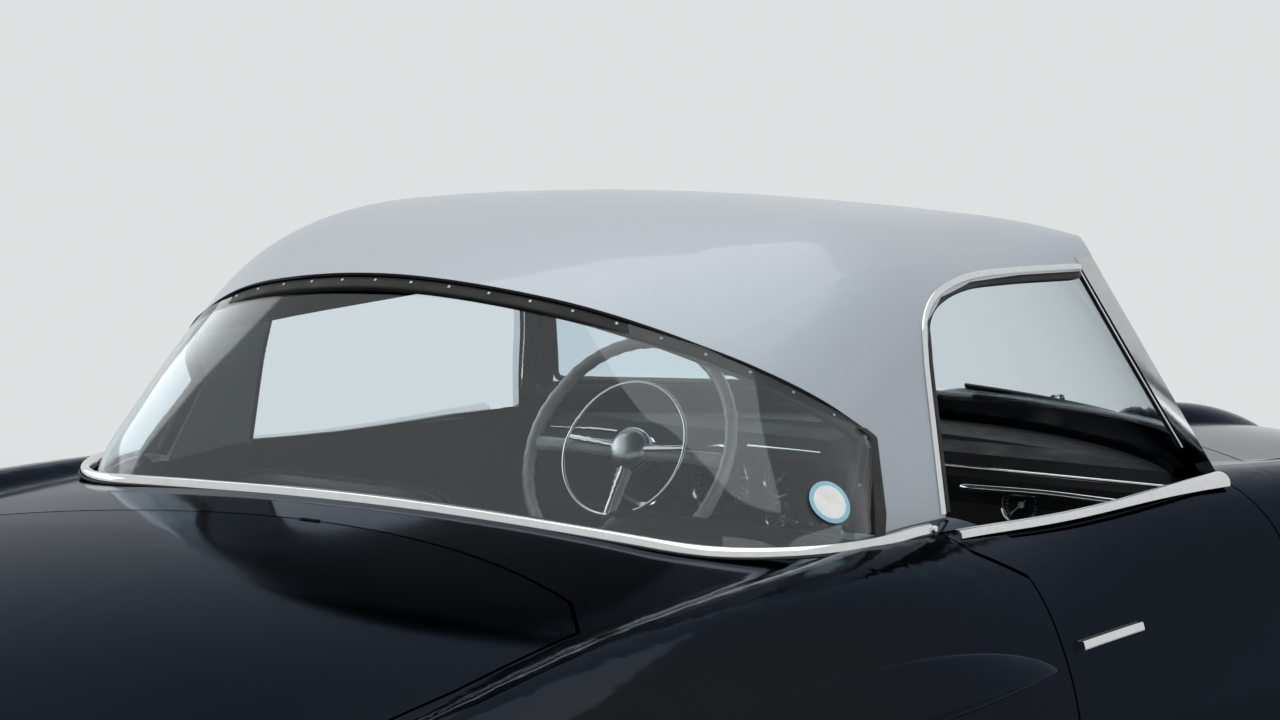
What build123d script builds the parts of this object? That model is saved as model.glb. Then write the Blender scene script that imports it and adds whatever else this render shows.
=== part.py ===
from build123d import *

import os
from collections import namedtuple
from math import asin, cos, hypot, radians, sin

# A two-seat roadster of the 1950s wearing its detachable hardtop, in millimetres.
# +Z is up, the nose points along -Y and +X is the car's left. The origin is on the ground,
# midway between the bumpers and on the centre line.

os.makedirs("parts", exist_ok=True)

# Overall sizes
LENGTH = 4570.0
WHEELBASE = 2400.0
FRONT_AXLE_Y = -1450.0
REAR_AXLE_Y = FRONT_AXLE_Y + WHEELBASE
FRONT_TRACK = 1398.0
REAR_TRACK = 1448.0

# Panels
PANEL_GAP = 5.0
DOOR_THICKNESS = 95.0

# Wheels and tyres
TYRE_RADIUS = 345.0
TYRE_WIDTH = 168.0
RIM_RADIUS = 190.5
ARCH_RADIUS = 366.0
WELL_RADIUS = 398.0
FRONT_WELL_INNER = 432.0
REAR_WELL_INNER = 598.0
HUB_Z = TYRE_RADIUS

# Cabin
SILL_TOP = 285.0
FLOOR_BOTTOM = 205.0
SHELF_TOP = 545.0

# Body sheet and inner walls
BODY_SKIN = 14.0
WELL_WALL = 10.0
WELL_WALL_BOTTOM = 470.0
FIREWALL_Y = -880.0
SCUTTLE_Z = 740.0
COWL_STRIP = 55.0
COWL_LIP = 36.0
RADIATOR_Y = -1950.0
RADIATOR_TOP = 690.0
POST = 42.0
BOOT_WALL_Y = 812.0
FLOOR_SHEET = 12.0
FLOOR_HALF_WIDTH = 742.0
SHELF_Y = 640.0
BOOT_STEP_Y = 1270.0
BOOT_FLOOR_TOP = 345.0
TUNNEL_RADIUS = 120.0

# Lamps and grille
LAMP_X = 596.0
LAMP_Y = -2150.0
LAMP_Z = 598.0
LAMP_RADIUS = 92.0
LAMP_BULGE = 34.0
NACELLE_WALL = 12.0
TAIL_LAMP_X = 560.0
TAIL_LAMP_Y = 2085.0
TAIL_LAMP_Z = 518.0
TAIL_LAMP_RADIUS = 44.0
TAIL_LAMP_LENGTH = 110.0
MOUTH_WIDTH = 620.0
MOUTH_HEIGHT = 170.0
MOUTH_Z = 482.0
GRILLE_Y = -2214.0
SLAT_COUNT = 17
BOSS_RADIUS = 38.0

# Screen and rear glass
GLASS_THICKNESS = 6.0

# Steering and seats
STEERING_HUB = (314.0, -221.0, 855.0)
STEERING_TILT = 25.0
RIM_DIAMETER = 425.0
RIM_THICKNESS = 24.0
RIM_RISE = 6.0
SPOKE_ANGLES = (180, 0, -90)
SPOKE_RADIUS = 8.0
HUB_RADIUS = 34.0
SHAFT_RADIUS = 10.0
COLUMN_RADIUS = 26.0
COLUMN_START = 32.0
COLUMN_END = 690.0
SEAT_X = 345.0
SEAT_WIDTH = 460.0
SEAT_FRONT_Y = -90.0
SEAT_REAR_Y = 430.0
SEAT_BASE_Z = 270.0
CUSHION_TOP = 440.0
BACK_HEIGHT = 470.0
BACK_THICKNESS = 110.0
BACK_RAKE = 14.0

# Running gear
KING_PIN_X = 600.0
KING_PIN_RADIUS = 13.0
EYE_GAP = 0.3
RUNNING_FIT = 0.08
EYE_RADIUS = 23.0
EYE_HEIGHT = 30.0
ARM_LOW_Z = 266.0
ARM_TOP_Z = 434.0
BEAM_TOP = 305.0
AXLE_RADIUS = 20.0
DRUM_RADIUS = 140.0
DRUM_INNER = 67.0
DRUM_OUTER = 36.0
FINAL_DRIVE_RADIUS = 105.0
AXLE_TUBE_RADIUS = 36.0
SPRING_X = 470.0
SPRING_RADIUS = 45.0
TYRE_BEAD = 62.0
DISC_X = 22.0
CAP_RADIUS = 118.0
RIM_WALL = 7.0
HUB_BOSS_RADIUS = 52.0
EXHAUST_X = -330.0
EXHAUST_Z = 166.0
EXHAUST_RADIUS = 22.0
SILENCER_Z = 235.0
SILENCER_RADIUS = 58.0

JACK_PAD = 50.0
JACK_PAD_X = 775.0
JACK_PAD_YS = (-220.0, 330.0)
JACK_PAD_Z = 172.0

# The two long bulges on the hood
BULGE_X = 205.0
BULGE_START = (-1790.0, 786.0)
BULGE_END = (-905.0, 896.0)
BULGE_RADIUS = 58.0

# Bumpers
BUMPER_BOW = 2600.0
BUMPER_TIP = 2256.0
BUMPER_CORNER_X = 560.0
BUMPER_WRAP_Y = 1930.0
BUMPER_HALF_WIDTH = 868.0
BUMPER_DEPTH = 40.0
BUMPER_HEIGHT = 100.0
BUMPER_Z = 400.0
OVERRIDER_X = 345.0
MIRROR = (20.0, -470.0, 985.0)

# The body's cross-sections from nose to tail, each a half-outline that is mirrored.
# low: sill edge, wide: broadest point, crest: top of the wing, valley: where wing meets lid.
Station = namedtuple(
    "Station", "y x_low z_low x_wide z_wide x_crest z_crest x_valley z_valley z_crown"
)
BODY_STATIONS = [
    Station(-2222, 300, 345, 470, 470, 385, 585, 320, 592, 606),
    Station(-2150, 460, 290, 655, 475, 545, 655, 440, 650, 672),
    Station(-2010, 640, 245, 785, 490, 640, 742, 500, 722, 745),
    Station(-1750, 740, 215, 855, 505, 678, 815, 545, 790, 815),
    Station(-1400, 790, 200, 882, 520, 695, 862, 585, 840, 868),
    Station(-900, 800, 190, 874, 540, 690, 880, 620, 872, 908),
    Station(-350, 800, 186, 870, 560, 640, 900, 600, 902, 925),
    Station(250, 802, 186, 873, 575, 610, 902, 570, 905, 925),
    Station(750, 806, 192, 884, 560, 690, 892, 610, 880, 908),
    Station(1200, 800, 205, 882, 540, 690, 860, 600, 840, 868),
    Station(1650, 760, 235, 838, 515, 650, 775, 560, 752, 785),
    Station(1980, 680, 275, 755, 490, 575, 672, 485, 655, 682),
    Station(2150, 560, 312, 625, 465, 470, 572, 390, 562, 580),
    Station(2226, 400, 350, 455, 440, 360, 505, 300, 508, 520),
]


def inset(station, depth):
    """The same section drawn in by a skin's depth all round."""
    return Station(
        station.y * (1 - depth / 2240),
        station.x_low - depth,
        station.z_low + depth,
        station.x_wide - depth,
        station.z_wide,
        station.x_crest - 0.4 * depth,
        station.z_crest - depth,
        station.x_valley - 0.2 * depth,
        station.z_valley - depth,
        station.z_crown - depth,
    )


def biarc(p0, t0, p1, t1, y):
    """Two arcs that join p0 to p1 smoothly, leaving along t0 and arriving along t1, at one y."""
    vx, vz = p1[0] - p0[0], p1[1] - p0[1]
    tx, tz = t0[0] + t1[0], t0[1] + t1[1]
    square = 2 * (t0[0] * t1[0] + t0[1] * t1[1] - 1)
    along = -2 * (vx * tx + vz * tz)
    length = vx * vx + vz * vz
    if abs(square) < 1e-6:
        reach = -length / along
    else:
        reach = (-along - (along * along - 4 * square * length) ** 0.5) / (2 * square)
    q0 = (p0[0] + reach * t0[0], p0[1] + reach * t0[1])
    q1 = (p1[0] - reach * t1[0], p1[1] - reach * t1[1])
    joint = ((q0[0] + q1[0]) / 2, (q0[1] + q1[1]) / 2)
    turn = (q1[0] - q0[0], q1[1] - q0[1])
    return [
        Edge.make_tangent_arc((p0[0], y, p0[1]), (t0[0], 0, t0[1]), (joint[0], y, joint[1])),
        Edge.make_tangent_arc((joint[0], y, joint[1]), (turn[0], 0, turn[1]), (p1[0], y, p1[1])),
    ]


def crown_slope(station):
    """The angle at which the crown arc leaves the valley."""
    rise = station.z_crown - station.z_valley
    radius = (station.x_valley**2 + rise**2) / (2 * rise)
    return asin(station.x_valley / radius)


def section_wire(s):
    """One closed half section of the body: sill, side, wing crest, valley and crown."""
    slope = crown_slope(s)
    low, wide = (s.x_low, s.z_low), (s.x_wide, s.z_wide)
    crest, valley = (s.x_crest, s.z_crest), (s.x_valley, s.z_valley)
    inward = (-cos(slope), sin(slope))
    return Wire(
        [
            Edge.make_line((0, s.y, low[1]), (low[0], s.y, low[1])),
            Edge.make_tangent_arc((wide[0], s.y, wide[1]), (0, 0, -1), (low[0], s.y, low[1])),
            *biarc(wide, (0, 1), crest, (-1, 0), s.y),
            *biarc(crest, (-1, 0), valley, inward, s.y),
            Edge.make_tangent_arc(
                (valley[0], s.y, valley[1]), (inward[0], 0, inward[1]), (0, s.y, s.z_crown)
            ),
            Edge.make_line((0, s.y, s.z_crown), (0, s.y, low[1])),
        ]
    )


def hull(depth=0.0):
    """The left half of the whole body as one smooth solid, drawn in by depth."""
    return Solid.make_loft([section_wire(inset(s, depth)) for s in BODY_STATIONS])


# Helpers

def block(x0, x1, y0, y1, z0, z1):
    """A box given by its faces."""
    return Pos((x0 + x1) / 2, (y0 + y1) / 2, (z0 + z1) / 2) * Box(x1 - x0, y1 - y0, z1 - z0)


def rod(start, end, radius):
    """A round bar between two points."""
    run = Vector(*end) - Vector(*start)
    return Solid.make_cylinder(radius, run.length, Plane(origin=start, z_dir=run))


def across(points, x0, x1):
    """A side-view outline of (y, z) points, extruded from x0 to x1."""
    wire = Wire.make_polygon([(x0, y, z) for y, z in points], close=True)
    return extrude(Face(wire), amount=x1 - x0, dir=(1, 0, 0))


def upright(edges, z0, z1):
    """A plan outline drawn at z0, extruded up to z1."""
    return extrude(Face(Wire(edges)), amount=z1 - z0, dir=(0, 0, 1))


def turned(points, axis):
    """A closed outline of points spun about an axis."""
    return revolve(Face(Wire.make_polygon(points, close=True)), axis=axis)


def both(shape):
    """A shape and its mirror image on the car's other side."""
    return shape + mirror(shape, about=Plane.YZ)


def biggest(shape):
    """The largest solid of a cut, without the slivers."""
    return max(shape.solids(), key=lambda solid: solid.volume)


def ship(name, shape):
    """Write one piece under its own name."""
    export_step(shape, f"parts/{name}.step")


# Plan outlines of the openings

def arc_line(half_width, y_side, y_middle):
    """The circle through two side points and a middle point: its centre y and its radius."""
    sag = y_side - y_middle
    radius = (half_width**2 + sag**2) / (2 * sag)
    return y_middle + radius, radius


def u_edges(half_width, y_front, y_rear, corner, z):
    """A plan outline that is square in front and has round corners at the rear."""
    w, r = half_width, corner
    k = r * (1 - 0.5**0.5)
    return [
        Edge.make_line((-w, y_front, z), (w, y_front, z)),
        Edge.make_line((w, y_front, z), (w, y_rear - r, z)),
        Edge.make_three_point_arc((w, y_rear - r, z), (w - k, y_rear - k, z), (w - r, y_rear, z)),
        Edge.make_line((w - r, y_rear, z), (r - w, y_rear, z)),
        Edge.make_three_point_arc((r - w, y_rear, z), (k - w, y_rear - k, z), (-w, y_rear - r, z)),
        Edge.make_line((-w, y_rear - r, z), (-w, y_front, z)),
    ]


def lid_prism(table, y_front, y_rear, grow):
    """A lid's plan outline, bowed across its ends, grown all round and drawn up as a bar."""
    left = [(x, y) for y, x in table]
    right = [(-x, y) for x, y in left]
    front = Edge.make_three_point_arc(right[0], (0, y_front), left[0])
    rear = Edge.make_three_point_arc(left[-1], (0, y_rear), right[-1])
    sides = [Edge.make_line(a, b) for a, b in zip(left, left[1:])]
    sides += [Edge.make_line(b, a) for a, b in zip(right, right[1:])]
    outline = Face(Wire([front, rear, *sides]))
    if grow:
        outline = make_face(offset(outline.outer_wire(), amount=grow))
    return Pos(0, 0, LID_PRISM_Z) * extrude(outline, amount=600)


# Hood: (y, half-width) down its sides, with the rear edge bowed forward along the screen
HOOD_SIDES = [(-1995, 440), (-1935, 486), (-1750, 528), (-1400, 570), (-900, 612), (-600, 640)]
HOOD_NOSE_Y = -2032.0
HOOD_REAR_Y = -880.0
LID_SIDES = [(1110, 520), (1190, 590), (1400, 580), (1650, 545), (1900, 492), (2000, 420)]
LID_FRONT_Y = 975.0
LID_REAR_Y = 2062.0
LID_REAR_GAP = 12.0
LID_PRISM_Z = 560.0
HOOD_PIN = (HOOD_NOSE_Y - PANEL_GAP / 2, 735.6)
LID_PIN = (LID_FRONT_Y - PANEL_GAP / 2, 893.0)

# Screen, belt and door
SCREEN_BASE = (653.0, -373.0, -745.0)
SCREEN_HEAD = (566.0, -118.0, -492.0)
SCREEN_BASE_Z = 915.0
SCREEN_HEAD_Z = 1232.0
BELT_HALF_WIDTH = 672.0
BELT_REAR_Y = 832.0
BELT_CORNER = 222.0
RAIL_WIDTH = 14.0
RAIL_HEIGHT = 9.0
DRIP_Z = 1213.0
DOOR_OPENING_X = 690.0
DOOR_FRONT_Y = -345.0
DOOR_REACH = 794.0
DOOR_TOP_REACH = 878.0
DOOR_HINGE = (869.5, DOOR_FRONT_Y - PANEL_GAP / 2)
DOOR_PIN_Z = 540.0
PIN_RADIUS = PANEL_GAP / 2 - 0.3
PIN_LENGTH = 45.0
LID_PIN_REACH = 16.0
LEDGE_Y = 400.0

# Roof: (y, x_foot, x_side, z_side, x_crown, z_crown_edge, z_crown)
RoofStation = namedtuple("RoofStation", "y x_foot x_side z_side x_crown z_edge z_crown")
ROOF_STATIONS = [
    RoofStation(-580, 590, 566, 1130, 330, 1196, 1218),
    RoofStation(-300, 605, 588, 1140, 375, 1258, 1278),
    RoofStation(0, 625, 600, 1140, 385, 1293, 1311),
    RoofStation(300, 640, 605, 1130, 380, 1293, 1313),
    RoofStation(500, 640, 592, 1090, 350, 1266, 1289),
    RoofStation(660, 612, 555, 1010, 300, 1222, 1251),
    RoofStation(790, 560, 480, 990, 230, 1186, 1214),
    RoofStation(900, 500, 410, 960, 180, 1140, 1176),
]
ROOF_FOOT_Z = 860.0
ROOF_WALL = 20.0


def roof_wire(s, depth):
    """One half roof section: foot, side, shoulder and crown arcs, closed on the centre line."""
    y = s.y
    foot, side = (s.x_foot - depth, ROOF_FOOT_Z), (s.x_side - depth, s.z_side)
    edge, top = (s.x_crown - depth / 2, s.z_edge - depth), s.z_crown - depth
    rise = top - edge[1]
    radius = (edge[0] ** 2 + rise**2) / (2 * rise)
    slope = asin(edge[0] / radius)
    lean = hypot(side[0] - foot[0], side[1] - foot[1])
    up = ((side[0] - foot[0]) / lean, (side[1] - foot[1]) / lean)
    half = [
        Edge.make_line((foot[0], y, foot[1]), (side[0], y, side[1])),
        *biarc(side, up, edge, (-cos(slope), sin(slope)), y),
    ]
    crown = Edge.make_tangent_arc(
        (edge[0], y, edge[1]), (-cos(slope), 0, sin(slope)), (0, y, top)
    )
    base = Edge.make_line((0, y, foot[1]), (foot[0], y, foot[1]))
    return Wire([base, *half, crown, Edge.make_line((0, y, top), (0, y, foot[1]))])


def roof_form(depth=0.0):
    """The left half of the hardtop as a solid block, drawn in by depth."""
    return Solid.make_loft([roof_wire(s, depth) for s in ROOF_STATIONS])


def screen_wall(inner, outer, z0, z1, spread=66.0):
    """A curved, raked wall between two offsets from the screen's surface, cut at two heights."""
    faces = []
    for z in (SCREEN_BASE_Z - 150, SCREEN_HEAD_Z + 150):
        t = (z - SCREEN_BASE_Z) / (SCREEN_HEAD_Z - SCREEN_BASE_Z)
        x, y_side, y_middle = (a + t * (b - a) for a, b in zip(SCREEN_BASE, SCREEN_HEAD))
        yc, radius = arc_line(x, y_side, y_middle)
        edges, ends = [], []
        for r in (radius + inner, radius + outer):
            a = radians(spread)
            p, m, q = (
                (r * sin(-a), yc - r * cos(a), z),
                (0, yc - r, z),
                (r * sin(a), yc - r * cos(a), z),
            )
            edges.append(Edge.make_three_point_arc(p, m, q))
            ends.append((p, q))
        sides = [Edge.make_line(ends[0][1], ends[1][1]), Edge.make_line(ends[1][0], ends[0][0])]
        faces.append(Wire([edges[0], sides[0], edges[1], sides[1]]))
    wall = Solid.make_loft(faces, ruled=True)
    return wall & block(-1500, 1500, -1500, 1500, z0, z1)


# The main volumes that everything is cut from
body_form = hull()
body_core = hull(BODY_SKIN)
skin = body_form - body_core
roof_block = roof_form()
roof_core = roof_form(ROOF_WALL)
hinge_axis = Axis((DOOR_HINGE[0], DOOR_HINGE[1], 0), (0, 0, 1))


def door_sweep(grow):
    """Everything a door's rear edge may reach, spun about its hinge line."""
    reach, top = DOOR_REACH + grow, DOOR_TOP_REACH + grow
    low = SILL_TOP + PANEL_GAP - grow
    x, y = DOOR_HINGE
    profile = [
        (x, y, low),
        (x, y + reach, low),
        (x, y + reach, 842 - grow),
        (x, y + top, 880 - grow),
        (x, y + top, 1000),
        (x, y, 1000),
    ]
    return turned(profile, hinge_axis)


def door_space(grow):
    """The room a left door takes up, grown by a gap."""
    front = DOOR_FRONT_Y - grow
    return door_sweep(grow) & block(DOOR_OPENING_X - grow, 1000, front, 900, 100, 1000)


# The lids' openings stop above the wells and the radiator wall, which stay under the lids
lid_floor = HUB_Z + WELL_RADIUS + WELL_WALL + 12
well_front_y = FRONT_AXLE_Y - 0.83 * WELL_RADIUS
under_hood = [
    block(-900, 900, well_front_y, 0, 0, lid_floor),
    block(-900, 900, HOOD_NOSE_Y - 50, well_front_y, 0, RADIATOR_TOP + 5),
]
under_lid = block(-900, 900, 0, REAR_AXLE_Y + WELL_RADIUS + 60, 0, lid_floor)
hood_bar = lid_prism(HOOD_SIDES, HOOD_NOSE_Y, HOOD_REAR_Y, 0)
hood_hole = lid_prism(HOOD_SIDES, HOOD_NOSE_Y, HOOD_REAR_Y, PANEL_GAP) - under_hood
trunk_bar = lid_prism(LID_SIDES, LID_FRONT_Y, LID_REAR_Y, 0)
trunk_hole = lid_prism(LID_SIDES, LID_FRONT_Y, LID_REAR_Y + LID_REAR_GAP - PANEL_GAP, PANEL_GAP)
trunk_hole = trunk_hole - under_lid
door_hole = door_space(PANEL_GAP)


def arch_prism(y, radius, x0, x1):
    """A round arch over a wheel with straight legs, from x0 out to x1."""
    top = Solid.make_cylinder(radius, x1 - x0, Plane(origin=(x0, y, HUB_Z), z_dir=(1, 0, 0)))
    return top + block(x0, x1, y - radius, y + radius, 100, HUB_Z)


def well_walls(y, inner_x):
    """One left wheel well's curved liner and inner wall, not yet trimmed to the body."""
    outer = arch_prism(y, WELL_RADIUS + WELL_WALL, inner_x - WELL_WALL, 900)
    passage = block(inner_x - 40, inner_x + 1, y - 500, y + 500, 0, WELL_WALL_BOTTOM)
    return outer - [arch_prism(y, WELL_RADIUS, inner_x, 901), passage]


def well_cuts(y, inner_x):
    """What a left wheel well takes out of the body's skin: its arch and the floor beneath."""
    plane = Plane(origin=(inner_x + 100, y, HUB_Z), z_dir=(1, 0, 0))
    return [
        Solid.make_cylinder(ARCH_RADIUS, 600, plane),
        block(inner_x, 775, y - WELL_RADIUS, y + WELL_RADIUS, 100, HUB_Z),
    ]


def ring_wall(radius, thickness, y, z0, z1):
    """A curved upright wall about a point on the centre line."""
    plane = Plane((0, y, z0))
    wall = Solid.make_cylinder(radius + thickness, z1 - z0, plane)
    return wall - Solid.make_cylinder(radius, z1 - z0, plane)


def spindle(start, end, radius):
    """A slender form that swells from a point to its radius halfway and runs out to a point."""
    run = Vector(*end) - Vector(*start)
    plane = Plane(origin=start, z_dir=run)
    half = run.length / 2
    arc = Edge.make_three_point_arc((0, 0, 0), (radius, 0, half), (0, 0, 2 * half))
    line = Edge.make_line((0, 0, 2 * half), (0, 0, 0))
    return plane.location * revolve(Face(Wire([arc, line])), axis=Axis.Z)


# Cockpit opening
base_yc, base_radius = arc_line(*SCREEN_BASE)
inner_sill = DOOR_OPENING_X - PANEL_GAP
cockpit = [
    Solid.make_cylinder(base_radius - COWL_LIP, 400, Plane((0, base_yc, 700)))
    & block(-10, 640, -900, -300, 700, 1100),
    block(-10, inner_sill, DOOR_FRONT_Y, LEDGE_Y, 700, 1100),
    upright(
        u_edges(BELT_HALF_WIDTH - 60, -300, BELT_REAR_Y - 40, BELT_CORNER - 40, 700), 700, 1100
    ),
]

# The body's left half in front of the door: skin, post, firewall, scuttle, nose and well
split_front = DOOR_FRONT_Y - PANEL_GAP
door_back = DOOR_HINGE[1] + DOOR_REACH + PANEL_GAP
hood_yc, hood_radius = arc_line(HOOD_SIDES[-1][1], HOOD_SIDES[-1][0], HOOD_REAR_Y)
cowl_wall_radius = hood_radius - COWL_STRIP
lamp_plane = Plane(origin=(LAMP_X, LAMP_Y, LAMP_Z), z_dir=(0, 1, 0))
tail_plane = Plane(origin=(TAIL_LAMP_X, TAIL_LAMP_Y, TAIL_LAMP_Z), z_dir=(0, 1, 0))


def mouth(shrink, y0, y1):
    """The grille's oval opening as a bar along Y, drawn in all round."""
    w, h = MOUTH_WIDTH / 2 - shrink, MOUTH_HEIGHT / 2 - shrink
    bar = block(-w, w, y0, y1, MOUTH_Z - h, MOUTH_Z + h)
    return fillet(bar.edges().filter_by(Axis.Y), h - 2)


front_walls = [
    ring_wall(cowl_wall_radius, WELL_WALL, hood_yc, SCUTTLE_Z, 1100)
    & block(0, 900, -1000, split_front, 0, 1100),
    block(0, 900, FIREWALL_Y, split_front, SCUTTLE_Z, SCUTTLE_Z + WELL_WALL)
    - Solid.make_cylinder(cowl_wall_radius, 100, Plane((0, hood_yc, SCUTTLE_Z - 20))),
    block(0, 900, FIREWALL_Y - WELL_WALL, FIREWALL_Y, FLOOR_BOTTOM, SCUTTLE_Z + WELL_WALL),
    block(FLOOR_HALF_WIDTH, 900, split_front - POST, split_front, 150, 1000),
    block(0, 420, RADIATOR_Y, RADIATOR_Y + WELL_WALL, 230, RADIATOR_TOP),
    well_walls(FRONT_AXLE_Y, FRONT_WELL_INNER),
]
front_inside = (front_walls[0] + front_walls[1:]) & body_core
nacelle = Solid.make_cylinder(LAMP_RADIUS + NACELLE_WALL, 260, lamp_plane) - body_core
front_cuts = [
    *well_cuts(FRONT_AXLE_Y, FRONT_WELL_INNER),
    block(-10, FLOOR_HALF_WIDTH - 60, RADIATOR_Y + 20, FIREWALL_Y - 12, 100, 250),
    block(-10, FLOOR_HALF_WIDTH, FIREWALL_Y, split_front + 1, 100, FLOOR_BOTTOM),
    hood_hole,
    *cockpit,
    Solid.make_cylinder(
        LAMP_RADIUS, 220, Plane(origin=(LAMP_X, LAMP_Y - 90, LAMP_Z), z_dir=(0, 1, 0))
    ),
    mouth(0, -2300, -2060),
]
front_half = skin & block(-10, 1000, -2400, split_front, 0, 1100)
front_half = biggest((front_half + [front_inside, nacelle]) - front_cuts)
ship("front_body", both(front_half))

# The left half behind the door: skin, post, quarter panel, boot bulkhead and well
rear_walls = [
    block(FLOOR_HALF_WIDTH - 60, 900, door_back - 40, door_back + POST, SILL_TOP, 1000),
    block(FLOOR_HALF_WIDTH, 900, door_back, door_back + POST, 150, SILL_TOP),
    block(REAR_WELL_INNER - WELL_WALL, REAR_WELL_INNER, LEDGE_Y, REAR_AXLE_Y, SILL_TOP, 1000)
    - Solid.make_cylinder(
        WELL_RADIUS, 60, Plane((REAR_WELL_INNER - 30, REAR_AXLE_Y, HUB_Z), z_dir=(1, 0, 0))
    ),
    block(0, REAR_WELL_INNER, BOOT_WALL_Y, BOOT_WALL_Y + WELL_WALL, SHELF_TOP, 1000),
    well_walls(REAR_AXLE_Y, REAR_WELL_INNER),
]
rear_inside = (rear_walls[0] + rear_walls[1:]) & body_core
rear_zone = block(-10, 1000, door_back, 2400, 0, 1100)
rear_zone += block(-10, 1000, LEDGE_Y, door_back, 600, 1100)
rear_cuts = [
    *well_cuts(REAR_AXLE_Y, REAR_WELL_INNER),
    block(-10, FLOOR_HALF_WIDTH - 60, door_back - 1, 1950, 100, BOOT_FLOOR_TOP - 60),
    trunk_hole,
    *cockpit,
    door_hole,
    Solid.make_cylinder(TAIL_LAMP_RADIUS, 200, tail_plane),
]
rear_half = biggest(((skin & rear_zone) + rear_inside) - rear_cuts)
ship("rear_body", both(rear_half))



def lid_pin(centre, toward):
    """Half of a lid's hinge pin in the middle of its front gap, with a web to the lid."""
    y, z = centre
    pin = rod((0, y, z), (LID_PIN_REACH, y, z), PIN_RADIUS)
    return pin + block(0, LID_PIN_REACH, y, y + toward * (PANEL_GAP / 2 + 3), z - PIN_RADIUS - 3, z)


# Doors: the outer skin over an inner box, all cut to the hinge's sweep
door_core = hull(DOOR_THICKNESS)
door_blank = biggest((body_form - door_core) & door_space(0.0) & block(0, 1000, -900, 900, 0, 1000))
window_slot = block(
    DOOR_OPENING_X + 26, DOOR_OPENING_X + 34, DOOR_FRONT_Y + 60, LEDGE_Y - 20, 560, 1000
)
pin_x, pin_y = DOOR_HINGE
door_pin = rod((pin_x, pin_y, DOOR_PIN_Z), (pin_x, pin_y, DOOR_PIN_Z + PIN_LENGTH), PIN_RADIUS)
door_pin += block(pin_x - 5, pin_x - 1.2, pin_y, pin_y + 6, DOOR_PIN_Z + 2, DOOR_PIN_Z + PIN_LENGTH - 2)
door_left = biggest((door_blank - window_slot) + door_pin)
ship("door_left", door_left)
ship("door_right", mirror(door_left, about=Plane.YZ))

# Lids
bulge = spindle((BULGE_X, *BULGE_START), (BULGE_X, *BULGE_END), BULGE_RADIUS) - body_core
ship("hood", both(biggest((skin & hood_bar) + [lid_pin(HOOD_PIN, 1), bulge])))
ship("trunk_lid", both(biggest((skin & trunk_bar) + lid_pin(LID_PIN, 1))))

# Sills under the doors
sill = body_form & block(FLOOR_HALF_WIDTH, 1000, split_front, door_back, 0, SILL_TOP)
for y in JACK_PAD_YS:
    sill += block(
        JACK_PAD_X - JACK_PAD / 2, JACK_PAD_X + JACK_PAD / 2,
        y - JACK_PAD / 2, y + JACK_PAD / 2, JACK_PAD_Z, JACK_PAD_Z + 40,
    )
sill = biggest(sill)
ship("sill_left", sill)
ship("sill_right", mirror(sill, about=Plane.YZ))

# Floor: one folded sheet seen from the side, with the tunnel over the propeller shaft
fold = [
    (FIREWALL_Y, 640),
    (FIREWALL_Y, 330),
    (-730, FLOOR_BOTTOM),
    (SHELF_Y - 60, FLOOR_BOTTOM),
    (SHELF_Y, SHELF_TOP - FLOOR_SHEET),
    (BOOT_STEP_Y, SHELF_TOP - FLOOR_SHEET),
    (BOOT_STEP_Y + 70, BOOT_FLOOR_TOP - FLOOR_SHEET),
    (2120, BOOT_FLOOR_TOP - FLOOR_SHEET),
]
upper = [(y + (FLOOR_SHEET if z > FLOOR_BOTTOM and y < 0 else 0), z + FLOOR_SHEET) for y, z in fold]
upper[0] = (FIREWALL_Y + FLOOR_SHEET, 640)
sheet = across(fold + upper[::-1], 0, FLOOR_HALF_WIDTH)
tunnel_line = Plane(origin=(0, FIREWALL_Y + 4, FLOOR_BOTTOM), z_dir=(0, 1, 0))
tunnel_run = SHELF_Y - 40 - FIREWALL_Y
tunnel_out = Solid.make_cylinder(TUNNEL_RADIUS, tunnel_run, tunnel_line)
tunnel_in = Solid.make_cylinder(TUNNEL_RADIUS - 10, tunnel_run + 200, tunnel_line)
floor = (sheet + (tunnel_out & block(0, 200, -1000, 900, FLOOR_BOTTOM, 900))) - [
    tunnel_in,
    block(REAR_WELL_INNER - WELL_WALL, 900, door_back - 40, 1400, 0, 1000),
]
floor_half = biggest(floor & body_core)
ship("floor_pan", both(floor_half))

# Screen, its frame and the hardtop
left_side = block(0, 1000, -3000, 3000, 0, 2000)
pane_window = screen_wall(-60, 60, SCREEN_BASE_Z + 28, SCREEN_HEAD_Z - 22, 55.5)
pane = screen_wall(-3, 3, SCREEN_BASE_Z + 10, SCREEN_HEAD_Z - 8, 57.5)
frame_bar = screen_wall(-13, 13, SCREEN_BASE_Z - 60, SCREEN_HEAD_Z, 60) & left_side
screen_frame = biggest(frame_bar - [body_form, pane_window, pane])
ship("windscreen_frame", both(screen_frame))
ship("windscreen_glass", pane)

# Hardtop: a shell over the cockpit with its side windows and the big rear opening cut away
window_view = [
    (-700, 800),
    (LEDGE_Y + 4, 800),
    (LEDGE_Y + 4, 1060),
    (LEDGE_Y + 2, 1122),
    (388, 1162),
    (335, 1192),
    (235, 1209),
    (78, DRIP_Z),
    (-700, DRIP_Z),
]
rear_view = [(613, 800), (609, 896), (545, 1018), (804, 1209), (1100, 1411), (1100, 800)]
ahead = screen_wall(13.3, 700, SCREEN_BASE_Z - 100, SCREEN_HEAD_Z + 150, 80)
on_frame = screen_wall(-13.3, 700, SCREEN_BASE_Z - 100, SCREEN_HEAD_Z + 0.3, 80)
roof = (roof_block - roof_core) - [
    across(window_view, 380, 900),
    across(rear_view, -10, 900),
    ahead,
    on_frame,
    body_form,
]
hardtop = biggest(roof)
ship("hardtop", both(hardtop))

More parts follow.
